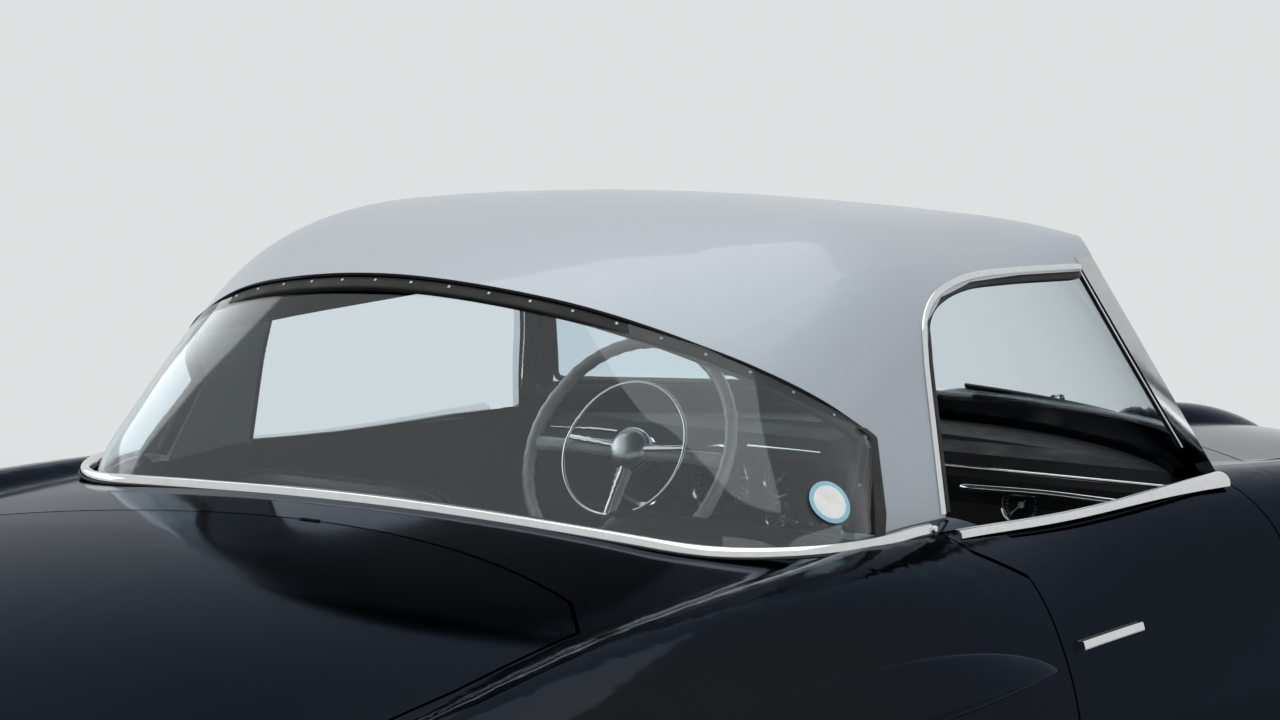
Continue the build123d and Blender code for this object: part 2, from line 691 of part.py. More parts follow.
# Rear glass: a wrapped pane standing on the deck inside the chrome rail
GlassLevel = namedtuple("GlassLevel", "z half_width y_rear corner")
GLASS_LEVELS = [
    GlassLevel(860, 668, 838, 222),
    GlassLevel(925, 650, 822, 225),
    GlassLevel(1060, 585, 806, 300),
    GlassLevel(1240, 500, 776, 420),
]


def glass_form(depth):
    """The solid inside the rear glass, drawn in by depth."""
    wires = [
        Wire(u_edges(g.half_width - depth, 200, g.y_rear - depth, g.corner - depth, g.z))
        for g in GLASS_LEVELS
    ]
    return Solid.make_loft(wires, ruled=True)


glass = (glass_form(0) - glass_form(GLASS_THICKNESS)) & across(rear_view, 0, 900)
ship("rear_glass", both(biggest(glass - body_form)))

# Chrome rail round the rear of the cockpit
rail_out = upright(
    u_edges(BELT_HALF_WIDTH + RAIL_WIDTH, 200, BELT_REAR_Y + RAIL_WIDTH, BELT_CORNER + RAIL_WIDTH, 700),
    700, 1100,
)
rail_in = upright(u_edges(BELT_HALF_WIDTH, 200, BELT_REAR_Y, BELT_CORNER, 700), 700, 1200)
rail_front = DOOR_HINGE[1] + DOOR_TOP_REACH + PANEL_GAP
rail = (rail_out - rail_in) & block(0, 900, rail_front, 1200, 700, 1100)
rail = (rail & hull(-RAIL_HEIGHT)) - body_form
ship("deck_rail", both(biggest(rail)))

# Dashboard: a full-width panel with a padded brow, set between screen and knees
dash_view = [
    (-900, 905), (-900, 720), (-640, 700), (-440, 690), (-400, 720), (-390, 800),
    (-375, 850), (-400, 886), (-450, 900), (-500, 960), (-900, 960),
]
dash = across(dash_view, 0, 636) & body_core
dash = dash & Solid.make_cylinder(cowl_wall_radius - 0.3, 800, Plane((0, hood_yc, 300)))
dash = both(biggest(dash))

# Steering: the column lies on the wheel's axis and passes through the dashboard
tilt = radians(STEERING_TILT)
column_way = Vector(0, -cos(tilt), -sin(tilt))
hub = Vector(*STEERING_HUB)


def along_column(distance):
    """A point on the column's axis, below the hub."""
    return hub + column_way * distance


column_hole = Solid.make_cylinder(
    COLUMN_RADIUS, 900, Plane(origin=along_column(0), z_dir=column_way)
)
dashboard = biggest(dash - column_hole)
ship("dashboard", dashboard)
column = rod(along_column(COLUMN_START), along_column(COLUMN_END), COLUMN_RADIUS)
column -= rod(along_column(COLUMN_START - 1), along_column(COLUMN_START + 70), SHAFT_RADIUS + RUNNING_FIT)
ship("steering_column", column)

rim_plane = Plane(origin=hub + column_way * (-RIM_RISE), x_dir=(1, 0, 0), z_dir=column_way)
rim = Solid.make_torus(RIM_DIAMETER / 2 - RIM_THICKNESS / 2, RIM_THICKNESS / 2, rim_plane)
steering = rim
for angle in SPOKE_ANGLES:
    a = radians(angle)
    tip = rim_plane.from_local_coords(
        Vector((RIM_DIAMETER / 2 - RIM_THICKNESS) * cos(a), (RIM_DIAMETER / 2 - RIM_THICKNESS) * sin(a), 0)
    )
    steering += rod(tuple(hub), tuple(tip), SPOKE_RADIUS)
steering += rod(tuple(along_column(-18)), tuple(along_column(24)), HUB_RADIUS)
steering += rod(tuple(along_column(0)), tuple(along_column(COLUMN_START + 60)), SHAFT_RADIUS)
ship("steering_wheel", biggest(steering))

# Seats: cushion, raked back and two runners, as one upholstered solid each
cushion = block(-SEAT_WIDTH / 2, SEAT_WIDTH / 2, SEAT_FRONT_Y, SEAT_REAR_Y, SEAT_BASE_Z, CUSHION_TOP)
cushion = fillet(cushion.edges().filter_by(Axis.X).group_by(Axis.Z)[-1], 45)
back = Pos(0, SEAT_REAR_Y - 30, CUSHION_TOP - 60) * Rot(-BACK_RAKE, 0, 0) * Pos(
    0, 0, BACK_HEIGHT / 2
) * Box(SEAT_WIDTH, BACK_THICKNESS, BACK_HEIGHT)
back = fillet(back.edges().group_by(Axis.Z)[-1], 40)
seat = cushion + back
for x in (-SEAT_WIDTH / 2 + 60, SEAT_WIDTH / 2 - 60):
    seat += block(
        x - 15, x + 15, SEAT_FRONT_Y + 40, SEAT_REAR_Y - 20, FLOOR_BOTTOM + FLOOR_SHEET, SEAT_BASE_Z
    )
for name, side in [("left", 1), ("right", -1)]:
    ship(f"seat_{name}", Pos(side * SEAT_X, 0, 0) * seat)

# Engine, as one plain block with its gearbox, standing on the front crossmember
engine = block(-210, 210, FRONT_AXLE_Y - 330, -1000, BEAM_TOP, 690)
engine += across(
    [(-1000, BEAM_TOP), (-1000, 560), (FIREWALL_Y - 30, 470), (FIREWALL_Y - 30, BEAM_TOP)], -130, 130
)
ship("engine", engine)

# Front suspension: a beam with two pairs of arms that hold the king-pins
beam = block(-400, 400, FRONT_AXLE_Y - 60, FRONT_AXLE_Y + 60, BEAM_TOP - 70, BEAM_TOP)
crossmember = beam
for side in (1, -1):
    tower = block(
        370, FRONT_WELL_INNER - WELL_WALL,
        FRONT_AXLE_Y - 45, FRONT_AXLE_Y + 45, BEAM_TOP - 70, WELL_WALL_BOTTOM + 50,
    )
    arms = tower
    for z in (ARM_LOW_Z, ARM_TOP_Z):
        arms += block(400, KING_PIN_X, FRONT_AXLE_Y - 17, FRONT_AXLE_Y + 17, z - 11, z + 11)
        arms += Solid.make_cylinder(
            EYE_RADIUS, EYE_HEIGHT, Plane((KING_PIN_X, FRONT_AXLE_Y, z - EYE_HEIGHT / 2))
        )
    arms -= Solid.make_cylinder(KING_PIN_RADIUS + RUNNING_FIT, 400, Plane((KING_PIN_X, FRONT_AXLE_Y, 200)))
    crossmember += arms if side == 1 else mirror(arms, about=Plane.YZ)
ship("front_crossmember", biggest(crossmember))

knuckle = rod(
    (KING_PIN_X, FRONT_AXLE_Y, ARM_LOW_Z - EYE_HEIGHT / 2),
    (KING_PIN_X, FRONT_AXLE_Y, ARM_TOP_Z + EYE_HEIGHT / 2),
    KING_PIN_RADIUS,
)
knuckle += rod(
    (KING_PIN_X, FRONT_AXLE_Y, ARM_LOW_Z + EYE_HEIGHT / 2 + EYE_GAP),
    (KING_PIN_X, FRONT_AXLE_Y, ARM_TOP_Z - EYE_HEIGHT / 2 - EYE_GAP),
    EYE_RADIUS,
)
front_x = FRONT_TRACK / 2
rear_x = REAR_TRACK / 2
knuckle += rod((KING_PIN_X, FRONT_AXLE_Y, HUB_Z), (front_x + 5, FRONT_AXLE_Y, HUB_Z), AXLE_RADIUS)
knuckle += rod(
    (front_x - DRUM_INNER, FRONT_AXLE_Y, HUB_Z), (front_x - DRUM_OUTER, FRONT_AXLE_Y, HUB_Z), DRUM_RADIUS
)
knuckle = biggest(knuckle)
ship("knuckle_left", knuckle)
ship("knuckle_right", mirror(knuckle, about=Plane.YZ))

# Rear axle: half of the tube, final drive, drum and shaft, turned about the wheel's axis
drum_in, drum_out = rear_x - DRUM_INNER, rear_x - DRUM_OUTER
axle_profile = [
    (0, 0),
    (rear_x + 5, 0),
    (rear_x + 5, AXLE_RADIUS),
    (drum_out, AXLE_RADIUS),
    (drum_out, DRUM_RADIUS),
    (drum_in, DRUM_RADIUS),
    (drum_in, AXLE_TUBE_RADIUS),
    (FINAL_DRIVE_RADIUS + 20, AXLE_TUBE_RADIUS),
    (FINAL_DRIVE_RADIUS * 0.7, FINAL_DRIVE_RADIUS * 0.75),
    (FINAL_DRIVE_RADIUS * 0.3, FINAL_DRIVE_RADIUS),
    (0, FINAL_DRIVE_RADIUS),
]
half_axle = turned([(x, 0, r) for x, r in axle_profile], Axis.X)
half_axle = Pos(0, REAR_AXLE_Y, HUB_Z) * half_axle
half_axle += rod(
    (SPRING_X, REAR_AXLE_Y, HUB_Z), (SPRING_X, REAR_AXLE_Y, SHELF_TOP - FLOOR_SHEET), SPRING_RADIUS
)
ship("rear_axle", both(half_axle))

# Wheels and tyres, made once about the X axis with +X outboard
bead, half = TYRE_BEAD, TYRE_WIDTH / 2
tyre_side = [
    (bead, RIM_RADIUS),
    (half - 3, 224),
    (half, 262),
    (half - 4, 300),
    (half - 14, 328),
    (half - 26, TYRE_RADIUS - 1.5),
    (24, TYRE_RADIUS),
]
tyre_line = tyre_side + [(-x, r) for x, r in reversed(tyre_side)]
tyre = turned([(x, 0, r) for x, r in tyre_line], Axis.X)
rim = RIM_RADIUS - RIM_WALL
dome = [(DISC_X + 38, 0, 8), (DISC_X + 32, 0, CAP_RADIUS / 2), (DISC_X + 12, 0, CAP_RADIUS)]
wheel_outline = [
    dome[2],
    (DISC_X + 6, 0, CAP_RADIUS + 2),
    (DISC_X + 6, 0, CAP_RADIUS + 8),
    (DISC_X - 4, 0, rim - 10),
    (DISC_X - 4, 0, rim),
    (bead, 0, rim),
    (bead, 0, RIM_RADIUS),
    (-bead, 0, RIM_RADIUS),
    (-bead, 0, rim),
    (DISC_X - 12, 0, rim),
    (DISC_X - 12, 0, rim - 12),
    (DISC_X - 2, 0, CAP_RADIUS),
    (DISC_X - 12, 0, HUB_BOSS_RADIUS + 6),
    (-30, 0, HUB_BOSS_RADIUS),
    (-30, 0, AXLE_RADIUS + RUNNING_FIT),
    (8, 0, AXLE_RADIUS + RUNNING_FIT),
    (8, 0, 0),
    (DISC_X + 38, 0, 0),
    dome[0],
]
wheel_edges = [Edge.make_line(a, b) for a, b in zip(wheel_outline, wheel_outline[1:])]
wheel_edges.append(Edge.make_three_point_arc(*dome))
wheel = revolve(Face(Wire(wheel_edges)), axis=Axis.X)
WHEELS = [
    ("front_left", front_x, FRONT_AXLE_Y, 1),
    ("front_right", -front_x, FRONT_AXLE_Y, -1),
    ("rear_left", rear_x, REAR_AXLE_Y, 1),
    ("rear_right", -rear_x, REAR_AXLE_Y, -1),
]
for name, x, y, side in WHEELS:
    turn = Rot(0, 0, 0 if side == 1 else 180)
    ship(f"tyre_{name}", Pos(x, y, HUB_Z) * turn * tyre)
    ship(f"wheel_{name}", Pos(x, y, HUB_Z) * turn * wheel)

# Bumpers: curved blades on brackets, with two overriders each
corner_y = BUMPER_TIP - (BUMPER_BOW - (BUMPER_BOW**2 - BUMPER_CORNER_X**2) ** 0.5)
heading = asin(BUMPER_CORNER_X / BUMPER_BOW)
bow = Edge.make_three_point_arc(
    (0, BUMPER_TIP, BUMPER_Z),
    (BUMPER_BOW * sin(heading / 2), BUMPER_TIP - BUMPER_BOW * (1 - cos(heading / 2)), BUMPER_Z),
    (BUMPER_CORNER_X, corner_y, BUMPER_Z),
)
wrap = Edge.make_tangent_arc(
    (BUMPER_CORNER_X, corner_y, BUMPER_Z),
    (cos(heading), -sin(heading), 0),
    (BUMPER_HALF_WIDTH, BUMPER_WRAP_Y, BUMPER_Z),
)
blade_plane = Plane(origin=(0, BUMPER_TIP, BUMPER_Z), x_dir=(0, 1, 0), z_dir=(1, 0, 0))
blade_face = blade_plane * Ellipse(BUMPER_DEPTH / 2, BUMPER_HEIGHT / 2)
half_blade = sweep(blade_face, path=Wire([bow, wrap]))
rider_y = BUMPER_TIP - BUMPER_BOW + (BUMPER_BOW**2 - OVERRIDER_X**2) ** 0.5
rider = block(
    OVERRIDER_X - 27, OVERRIDER_X + 27, rider_y - 40, LENGTH / 2, BUMPER_Z - 85, BUMPER_Z + 105
)
rider = fillet(rider.edges().filter_by(Axis.Z), 22)
rider = fillet(rider.edges().group_by(Axis.Z)[-1], 16)
arm = block(OVERRIDER_X - 20, OVERRIDER_X + 20, 2080, rider_y - 10, BUMPER_Z - 16, BUMPER_Z + 16)
half_bumper = biggest((half_blade + [rider, arm]) - body_form)
for name, turn in [("rear_bumper", Rot(0, 0, 0)), ("front_bumper", Rot(0, 0, 180))]:
    if name == "front_bumper":
        half_bumper = biggest(turn * (half_blade + [rider, arm]) - mirror(body_form, about=Plane.YZ))
    ship(name, both(half_bumper))

# Grille: a bright rim, a broad bar with a plain round boss, and upright slats
grille = mouth(0, GRILLE_Y, GRILLE_Y + 30) - mouth(12, GRILLE_Y - 1, GRILLE_Y + 31)
grille += block(
    -MOUTH_WIDTH / 2 + 6, MOUTH_WIDTH / 2 - 6, GRILLE_Y + 2, GRILLE_Y + 22, MOUTH_Z - 12, MOUTH_Z + 12
)
slat_pitch = (MOUTH_WIDTH - 120) / (SLAT_COUNT - 1)
slats = [
    block(x - 2, x + 2, GRILLE_Y + 8, GRILLE_Y + 28, MOUTH_Z - MOUTH_HEIGHT / 2, MOUTH_Z + MOUTH_HEIGHT / 2)
    for x in (-MOUTH_WIDTH / 2 + 60 + n * slat_pitch for n in range(SLAT_COUNT))
]
for slat in slats:
    grille += slat & mouth(2, GRILLE_Y, GRILLE_Y + 30)
grille += Solid.make_cylinder(BOSS_RADIUS, 34, Plane(origin=(0, GRILLE_Y - 8, MOUTH_Z), z_dir=(0, 1, 0)))
ship("grille", biggest(grille))

# Lamps
for name, side in [("left", 1), ("right", -1)]:
    seat_plane = Plane(origin=(side * LAMP_X, LAMP_Y, LAMP_Z), z_dir=(0, 1, 0))
    lamp = Solid.make_cylinder(LAMP_RADIUS, 60, seat_plane)
    bulge = LAMP_BULGE
    ball = (LAMP_RADIUS**2 + bulge**2) / (2 * bulge)
    dome = Pos(side * LAMP_X, LAMP_Y + ball - bulge, LAMP_Z) * Sphere(ball)
    lamp += dome & Solid.make_cylinder(
        LAMP_RADIUS, 80, Plane(origin=(side * LAMP_X, LAMP_Y - 79, LAMP_Z), z_dir=(0, 1, 0))
    )
    ship(f"headlamp_{name}", biggest(lamp))
    tail = Solid.make_cylinder(
        TAIL_LAMP_RADIUS, TAIL_LAMP_LENGTH,
        Plane(origin=(side * TAIL_LAMP_X, TAIL_LAMP_Y, TAIL_LAMP_Z), z_dir=(0, 1, 0)),
    )
    tail = fillet(tail.edges().group_by(Axis.Y)[-1], 18)
    ship(f"tail_lamp_{name}", tail)

# Exhaust: pipe, silencer and tail hanger under the floor
pipe_points = [
    (EXHAUST_X, -1120, 330), (EXHAUST_X, -1120, EXHAUST_Z), (EXHAUST_X, 1150, EXHAUST_Z),
    (EXHAUST_X, 1300, SILENCER_Z), (EXHAUST_X, 2235, SILENCER_Z),
]
pipe_path = FilletPolyline(*pipe_points, radius=[60, 100, 100])
pipe_start = Plane(origin=pipe_points[0], z_dir=(0, 0, -1))
exhaust = sweep(pipe_start * Circle(EXHAUST_RADIUS), path=pipe_path)
exhaust += rod((EXHAUST_X, 1420, SILENCER_Z), (EXHAUST_X, 1930, SILENCER_Z), SILENCER_RADIUS)
exhaust += block(EXHAUST_X - 12, EXHAUST_X + 12, 1670, 1700, SILENCER_Z, BOOT_FLOOR_TOP - FLOOR_SHEET)
exhaust += block(EXHAUST_X - 10, EXHAUST_X + 10, -40, -10, EXHAUST_Z, FLOOR_BOTTOM)
ship("exhaust", biggest(exhaust))

# Mirror on the dashboard and wipers on the cowl
mirror_stem = rod((MIRROR[0], MIRROR[1], MIRROR[2] - 130), tuple(MIRROR), 5)
mirror_head = Pos(MIRROR[0], MIRROR[1], MIRROR[2] + 10) * Box(170, 18, 48)
mirror_head = fillet(mirror_head.edges().filter_by(Axis.Y), 22)
ship("mirror", biggest(mirror_stem + mirror_head - dashboard))
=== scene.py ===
"""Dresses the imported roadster: paint, glass, brightwork, rubber, upholstery and running gear.

Every piece is worked out in metres in the car's own frame: the nose points along -Y, +X is
the car's left and +Z is up.
"""

from math import cos, pi, radians, sin

import bmesh
import bpy
import numpy as np
from bpy.props import FloatProperty, FloatVectorProperty, IntProperty, PointerProperty
from mathutils import Matrix, Vector
from mathutils.bvhtree import BVHTree


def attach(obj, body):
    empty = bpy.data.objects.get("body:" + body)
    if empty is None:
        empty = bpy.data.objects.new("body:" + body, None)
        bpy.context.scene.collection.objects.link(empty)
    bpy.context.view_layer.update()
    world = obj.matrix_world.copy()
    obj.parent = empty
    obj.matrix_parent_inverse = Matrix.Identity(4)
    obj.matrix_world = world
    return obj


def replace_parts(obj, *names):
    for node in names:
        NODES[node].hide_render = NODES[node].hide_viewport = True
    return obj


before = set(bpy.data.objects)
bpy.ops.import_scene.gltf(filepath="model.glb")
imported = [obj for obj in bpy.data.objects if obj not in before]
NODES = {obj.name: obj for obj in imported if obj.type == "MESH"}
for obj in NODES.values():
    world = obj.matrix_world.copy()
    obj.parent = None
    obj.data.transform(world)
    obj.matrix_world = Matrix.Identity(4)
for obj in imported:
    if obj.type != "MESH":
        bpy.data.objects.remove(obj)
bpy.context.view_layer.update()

bl_info = {
    "name": "Classic roadster dressing",
    "version": (1, 0, 0),
    "blender": (4, 5, 0),
    "location": "3D View > Sidebar > Roadster",
    "description": "Makes the finishes and fine parts of a 1950s roadster with its hardtop",
    "category": "Object",
}

# Places shared with the solids, in metres
FRONT_AXLE_Y, REAR_AXLE_Y = -1.450, 0.950
HUB_Z = 0.345
WHEELS = {
    "front_left": (0.699, FRONT_AXLE_Y, 1),
    "front_right": (-0.699, FRONT_AXLE_Y, -1),
    "rear_left": (0.724, REAR_AXLE_Y, 1),
    "rear_right": (-0.724, REAR_AXLE_Y, -1),
}
SIDES = (("left", 1), ("right", -1))
UPWARD = (0, 0, 1)
SEAT_X = 0.345
# Each pad's width, length and thickness, its crown, the middle's y and z and the way it leans
SEAT_PADS = (
    ("cushion", (0.452, 0.500, 0.150), 0.022, (0.145, 0.372), (1, 0.06)),
    ("backrest", (0.446, 0.480, 0.116), 0.018, (0.455, 0.640), (0.26, 0.966)),
)
STEERING_HUB = Vector((0.314, -0.221, 0.855))
COLUMN_TILT = radians(25)
# The screen at its base and head: half its width, the y of its sides and of its middle
SCREEN_BASE, SCREEN_HEAD = (0.653, -0.373, -0.745), (0.566, -0.118, -0.492)
SCREEN_BASE_Z, SCREEN_HEAD_Z = 0.915, 1.232
# The cut of the roof's rear edge seen from the side: the pillar's foot and head, the crown
HARDTOP_CUT = [(0.609, 0.896), (0.545, 1.018), (0.804, 1.209)]
# What the directions off the roof and the distances of the pane are taken from
CABIN_MIDDLE, PANE_MIDDLE = np.array([0.0, 0.45, 1.05]), np.array([0.0, 0.45, 0.0])
PANE_THICKNESS = 0.006
# The middle of the front blade's cut end on the left, and the blade's depth and height
BUMPER_END, BUMPER_SECTION = (0.868, -1.930, 0.400), (0.0394, 0.0994)
# The camera's place, its yaw, pitch and roll in degrees, and its lens in millimetres
EYE, EYE_TURN, EYE_LENS = (-2.5858, 3.9771, 1.4521), (34.50, -4.91, 1.24), 85.0
# Where the photograph shows the sticker, before it is laid on the glass
STICKER_AIM = (-0.619, 0.680, 0.946)
# Where rays start that look for the solids: above, beside, past the bumpers, behind the dashboard
ABOVE_CAR, BESIDE_CAR, BESIDE_ROOF, PAST_BUMPERS, BEHIND_DASH = 1.6, 1.3, 1.2, 3.0, 0.4

# Light and background
BACKGROUND = (0.74, 0.75, 0.755)
HORIZON_LIGHT, ZENITH_LIGHT, SKY_STRENGTH = (0.50, 0.50, 0.50), (0.70, 0.74, 0.80), 0.62
# The distances between which the floor turns into the background
FLOOR_FADE = (2.4, 8.0)
# The roof's side opening as (y, z), from the door strip up the pillar and forward
WINDOW_EDGE = [
    (0.404, 0.905), (0.404, 1.060), (0.402, 1.122), (0.388, 1.162),
    (0.335, 1.192), (0.235, 1.209), (0.078, 1.213), (-0.200, 1.213), (-0.330, 1.213),
]


# Sizes and colours a user would change

# What all colours share
TINT = {"subtype": "COLOR", "size": 3, "min": 0, "max": 1}


class RoadsterColours(bpy.types.PropertyGroup):
    """Colours of the visible finishes."""

    body: FloatVectorProperty(
        name="Body", description="Paint of the body", default=(0.015, 0.016, 0.018), **TINT,
    )
    roof: FloatVectorProperty(
        name="Hardtop", description="Metallic paint of the hardtop", default=(0.40, 0.44, 0.48), **TINT,
    )
    chrome: FloatVectorProperty(
        name="Brightwork", description="Plated trim", default=(0.78, 0.79, 0.80), **TINT,
    )
    leather: FloatVectorProperty(
        name="Leather", description="Seats and door cards", default=(0.016, 0.015, 0.015), **TINT,
    )
    rim: FloatVectorProperty(
        name="Wheel rim", description="Moulded rim of the steering wheel", default=(0.42, 0.43, 0.41),
        **TINT,
    )
    glass: FloatVectorProperty(
        name="Glass", description="Tint of the panes", default=(0.82, 0.91, 0.95), **TINT,
    )


class RoadsterSizes(bpy.types.PropertyGroup):
    """Sizes of the fine parts."""

    seal_width: FloatProperty(
        name="Seal width", description="Width of the band under the hardtop's rear edge",
        default=0.024, min=0.01, max=0.04, unit="LENGTH",
    )
    screw_pitch: FloatProperty(
        name="Screw pitch", description="Distance between the screws along that band",
        default=0.062, min=0.02, max=0.2, unit="LENGTH",
    )
    drip_width: FloatProperty(
        name="Drip moulding", description="Width of the bright moulding round the side windows",
        default=0.011, min=0.004, max=0.02, unit="LENGTH",
    )
    tread_depth: FloatProperty(
        name="Tread depth", description="Depth of the grooves in a tyre",
        default=0.006, min=0.001, max=0.01, unit="LENGTH",
    )
    tread_pitches: IntProperty(
        name="Tread pitches", description="Zigzags round one tyre", default=64, min=20, max=90,
    )
    seat_channels: IntProperty(
        name="Seat channels", description="Sewn channels across one seat", default=7, min=3, max=12,
    )


def colours():
    """The colours in use."""
    return bpy.context.scene.roadster_colours


def sizes():
    """The sizes in use."""
    return bpy.context.scene.roadster_sizes


# Surfaces

def grid_faces(rows, cols, wrap_rows, wrap_cols):
    """Quads between neighbouring grid points; a wrapped way joins its last line to its first."""
    r = np.arange(rows if wrap_rows else rows - 1)[:, None]
    c = np.arange(cols if wrap_cols else cols - 1)[None, :]
    r2, c2 = (r + 1) % rows, (c + 1) % cols
    quads = np.broadcast_arrays(r * cols + c, r2 * cols + c, r2 * cols + c2, r * cols + c2)
    return np.stack(quads, axis=-1).reshape(-1, 4)


def make_piece(name, surfaces, kind, body="car", sharp=40.0, merge=True):
    """A mesh object from a list of (grid, wrap rows, wrap columns), in a finish, on a body."""
    points, faces, start = [], [], 0
    for grid, wrap_rows, wrap_cols in surfaces:
        rows, cols = grid.shape[:2]
        points.append(grid.reshape(-1, 3))
        faces.append(grid_faces(rows, cols, wrap_rows, wrap_cols) + start)
        start += rows * cols
    points, faces = np.concatenate(points), np.concatenate(faces)
    mesh = bpy.data.meshes.new(name)
    mesh.vertices.add(len(points))
    mesh.vertices.foreach_set("co", points.astype(np.float32).ravel())
    mesh.loops.add(faces.size)
    mesh.loops.foreach_set("vertex_index", faces.astype(np.int32).ravel())
    mesh.polygons.add(len(faces))
    mesh.polygons.foreach_set("loop_start", np.arange(0, faces.size, 4, dtype=np.int32))
    mesh.update(calc_edges=True)
    if merge:
        shape = bmesh.new()
        shape.from_mesh(mesh)
        bmesh.ops.remove_doubles(shape, verts=shape.verts, dist=2e-6)
        bmesh.ops.recalc_face_normals(shape, faces=shape.faces)
        shape.to_mesh(mesh)
        shape.free()
    mesh.shade_smooth()
    mesh.set_sharp_from_angle(angle=radians(sharp))
    piece = bpy.data.objects.new(name, mesh)
    bpy.context.collection.objects.link(piece)
    mesh.materials.append(finish(kind))
    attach(piece, body)
    return piece


def unit(v):
    """Vectors of length one."""
    v = np.asarray(v, float)
    return v / np.maximum(np.linalg.norm(v, axis=-1, keepdims=True), 1e-12)


def smooth_path(points, count):
    """Points at equal steps along a Catmull-Rom curve through the given points: between two
    of them it is the cubic whose slope at each is half the step between its neighbours."""
    p = np.asarray(points, float)
    p = np.vstack([2 * p[:1] - p[1:2], p, 2 * p[-1:] - p[-2:-1]])
    spans = len(p) - 3
    t = np.linspace(0, 1, 24, endpoint=False)[None, :, None]
    a, b, c, d = (p[i:i + spans, None, :] for i in range(4))
    curve = 0.5 * (2 * b + (c - a) * t + (2 * a - 5 * b + 4 * c - d) * t**2
                   + (3 * b - a - 3 * c + d) * t**3)
    return even_path(np.vstack([curve.reshape(-1, p.shape[1]), p[-2:-1]]), count)


def even_path(curve, count, closed=False):
    """The same polyline with its points at equal distances."""
    run = np.concatenate([[0], np.cumsum(np.linalg.norm(np.diff(curve, axis=0), axis=1))])
    at = np.linspace(0, run[-1], count, endpoint=not closed)
    return np.stack([np.interp(at, run, curve[:, k]) for k in range(curve.shape[1])], axis=1)


def smooth_numbers(values):
    """Each number replaced by the mean of the eleven around it; the ends count again past them."""
    width = 5
    padded = np.concatenate([values[:1].repeat(width), values, values[-1:].repeat(width)])
    kernel = np.ones(2 * width + 1) / (2 * width + 1)
    return np.convolve(padded, kernel, mode="valid")


def path_frame(path, up, closed=False):
    """The side and up vectors along a path: up is made square to the path, side to both."""
    if closed:
        tangent = np.roll(path, -1, axis=0) - np.roll(path, 1, axis=0)
    else:
        tangent = np.gradient(path, axis=0)
    tangent = unit(tangent)
    up = np.broadcast_to(np.asarray(up, float), path.shape)
    up = unit(up - np.sum(up * tangent, axis=1, keepdims=True) * tangent)
    return np.cross(tangent, up), up


def sweep(path, profile, up, closed=False, taper=None):
    """A closed profile of (side, up) points carried along a path: each path point plus the
    profile's two numbers along the side and up vectors there, drawn to a point at open ends."""
    path, profile = np.asarray(path, float), np.asarray(profile, float)
    side, up = path_frame(path, up, closed)
    scale = np.ones(len(path)) if taper is None else np.asarray(taper, float)
    across = profile[None, :, 0:1] * scale[:, None, None]
    above = profile[None, :, 1:2] * scale[:, None, None]
    grid = path[:, None, :] + across * side[:, None, :] + above * up[:, None, :]
    return (grid, True, True) if closed else capped(grid)


def capped(rings):
    """A tube of rings whose first and last are each drawn to the point in their middle."""
    first, last = (rings[k].mean(axis=0) + 0 * rings[k] for k in (0, -1))
    return np.concatenate([first[None], rings, last[None]]), False, True


def walled(face, back):
    """A sheet with a thickness: each row runs out along its face and home along its back."""
    return capped(np.concatenate([face, back[:, ::-1]], axis=1))


def full_turn(count):
    """Equal steps of angle round a circle, without the last."""
    return np.linspace(0, 2 * pi, count, endpoint=False)


def ellipse(width, height, count=12):
    """An oval profile."""
    t = full_turn(count)
    return np.stack([width / 2 * np.cos(t), height / 2 * np.sin(t)], axis=1)


def pulled(wave, power):
    """A power of a sine's size with its sign kept, which squares off a round outline."""
    return np.sign(wave) * np.abs(wave) ** power


def rod(thickness, count=8):
    """A round profile."""
    return ellipse(thickness, thickness, count)


def half_round(width, height):
    """A flat-bottomed bead: half an oval over a thin foot."""
    t = np.linspace(0, pi, 9)
    top = np.stack([width / 2 * np.cos(t), height * np.sin(t)], axis=1)
    return np.vstack([top, [[-width / 2, -0.002], [width / 2, -0.002]]])


def soft_box(width, height, radius, steps=3):
    """A rectangle profile with round corners: four quarter circles joined by straight sides."""
    t = np.linspace(0, pi / 2, steps + 1)
    w, h = width / 2 - radius, height / 2 - radius
    corners = [
        np.stack([sx * w + radius * np.cos(t + k * pi / 2),
                  sy * h + radius * np.sin(t + k * pi / 2)], axis=1)
        for k, (sx, sy) in enumerate([(1, 1), (-1, 1), (-1, -1), (1, -1)])
    ]
    return np.concatenate(corners)


def rounded_outline(width, height, radius):
    """The outline of a plate with round corners."""
    return soft_box(width, height, radius, steps=5)


def lathe(profile, centre, axis, segments=48):
    """A profile of (radius, distance) points turned about an axis through a centre."""
    axis = unit(axis)
    helper = (0, 0, 1) if abs(axis[2]) < 0.9 else (1, 0, 0)
    e1 = unit(np.cross(axis, helper))
    e2 = np.cross(axis, e1)
    t = full_turn(segments)
    ring = np.cos(t)[:, None] * e1 + np.sin(t)[:, None] * e2
    profile = np.asarray(profile, float)
    grid = (np.asarray(centre, float) + profile[None, :, 0:1] * ring[:, None, :]
            + profile[None, :, 1:2] * axis)
    return grid, True, False


def panel(outline, thickness, place):
    """A flat plate with rounded rims: the outline of (x, y) points is drawn in a little at its
    faces and full size between them. place maps its (x, y, z) points to the car."""
    outline = np.asarray(outline, float)
    centre = outline.mean(axis=0)
    rim = min(thickness * 0.4, 0.002)
    reach = np.linalg.norm(outline - centre, axis=1, keepdims=True)
    drawn = centre + (outline - centre) * (1 - rim / reach)
    h = thickness / 2
    rings = [(centre + 0 * outline, -h), (drawn, -h), (outline, -h + rim), (outline, h - rim),
             (drawn, h), (centre + 0 * outline, h)]
    grid = np.stack([np.column_stack([xy, np.full(len(xy), z)]) for xy, z in rings])
    return move(grid, place), False, True


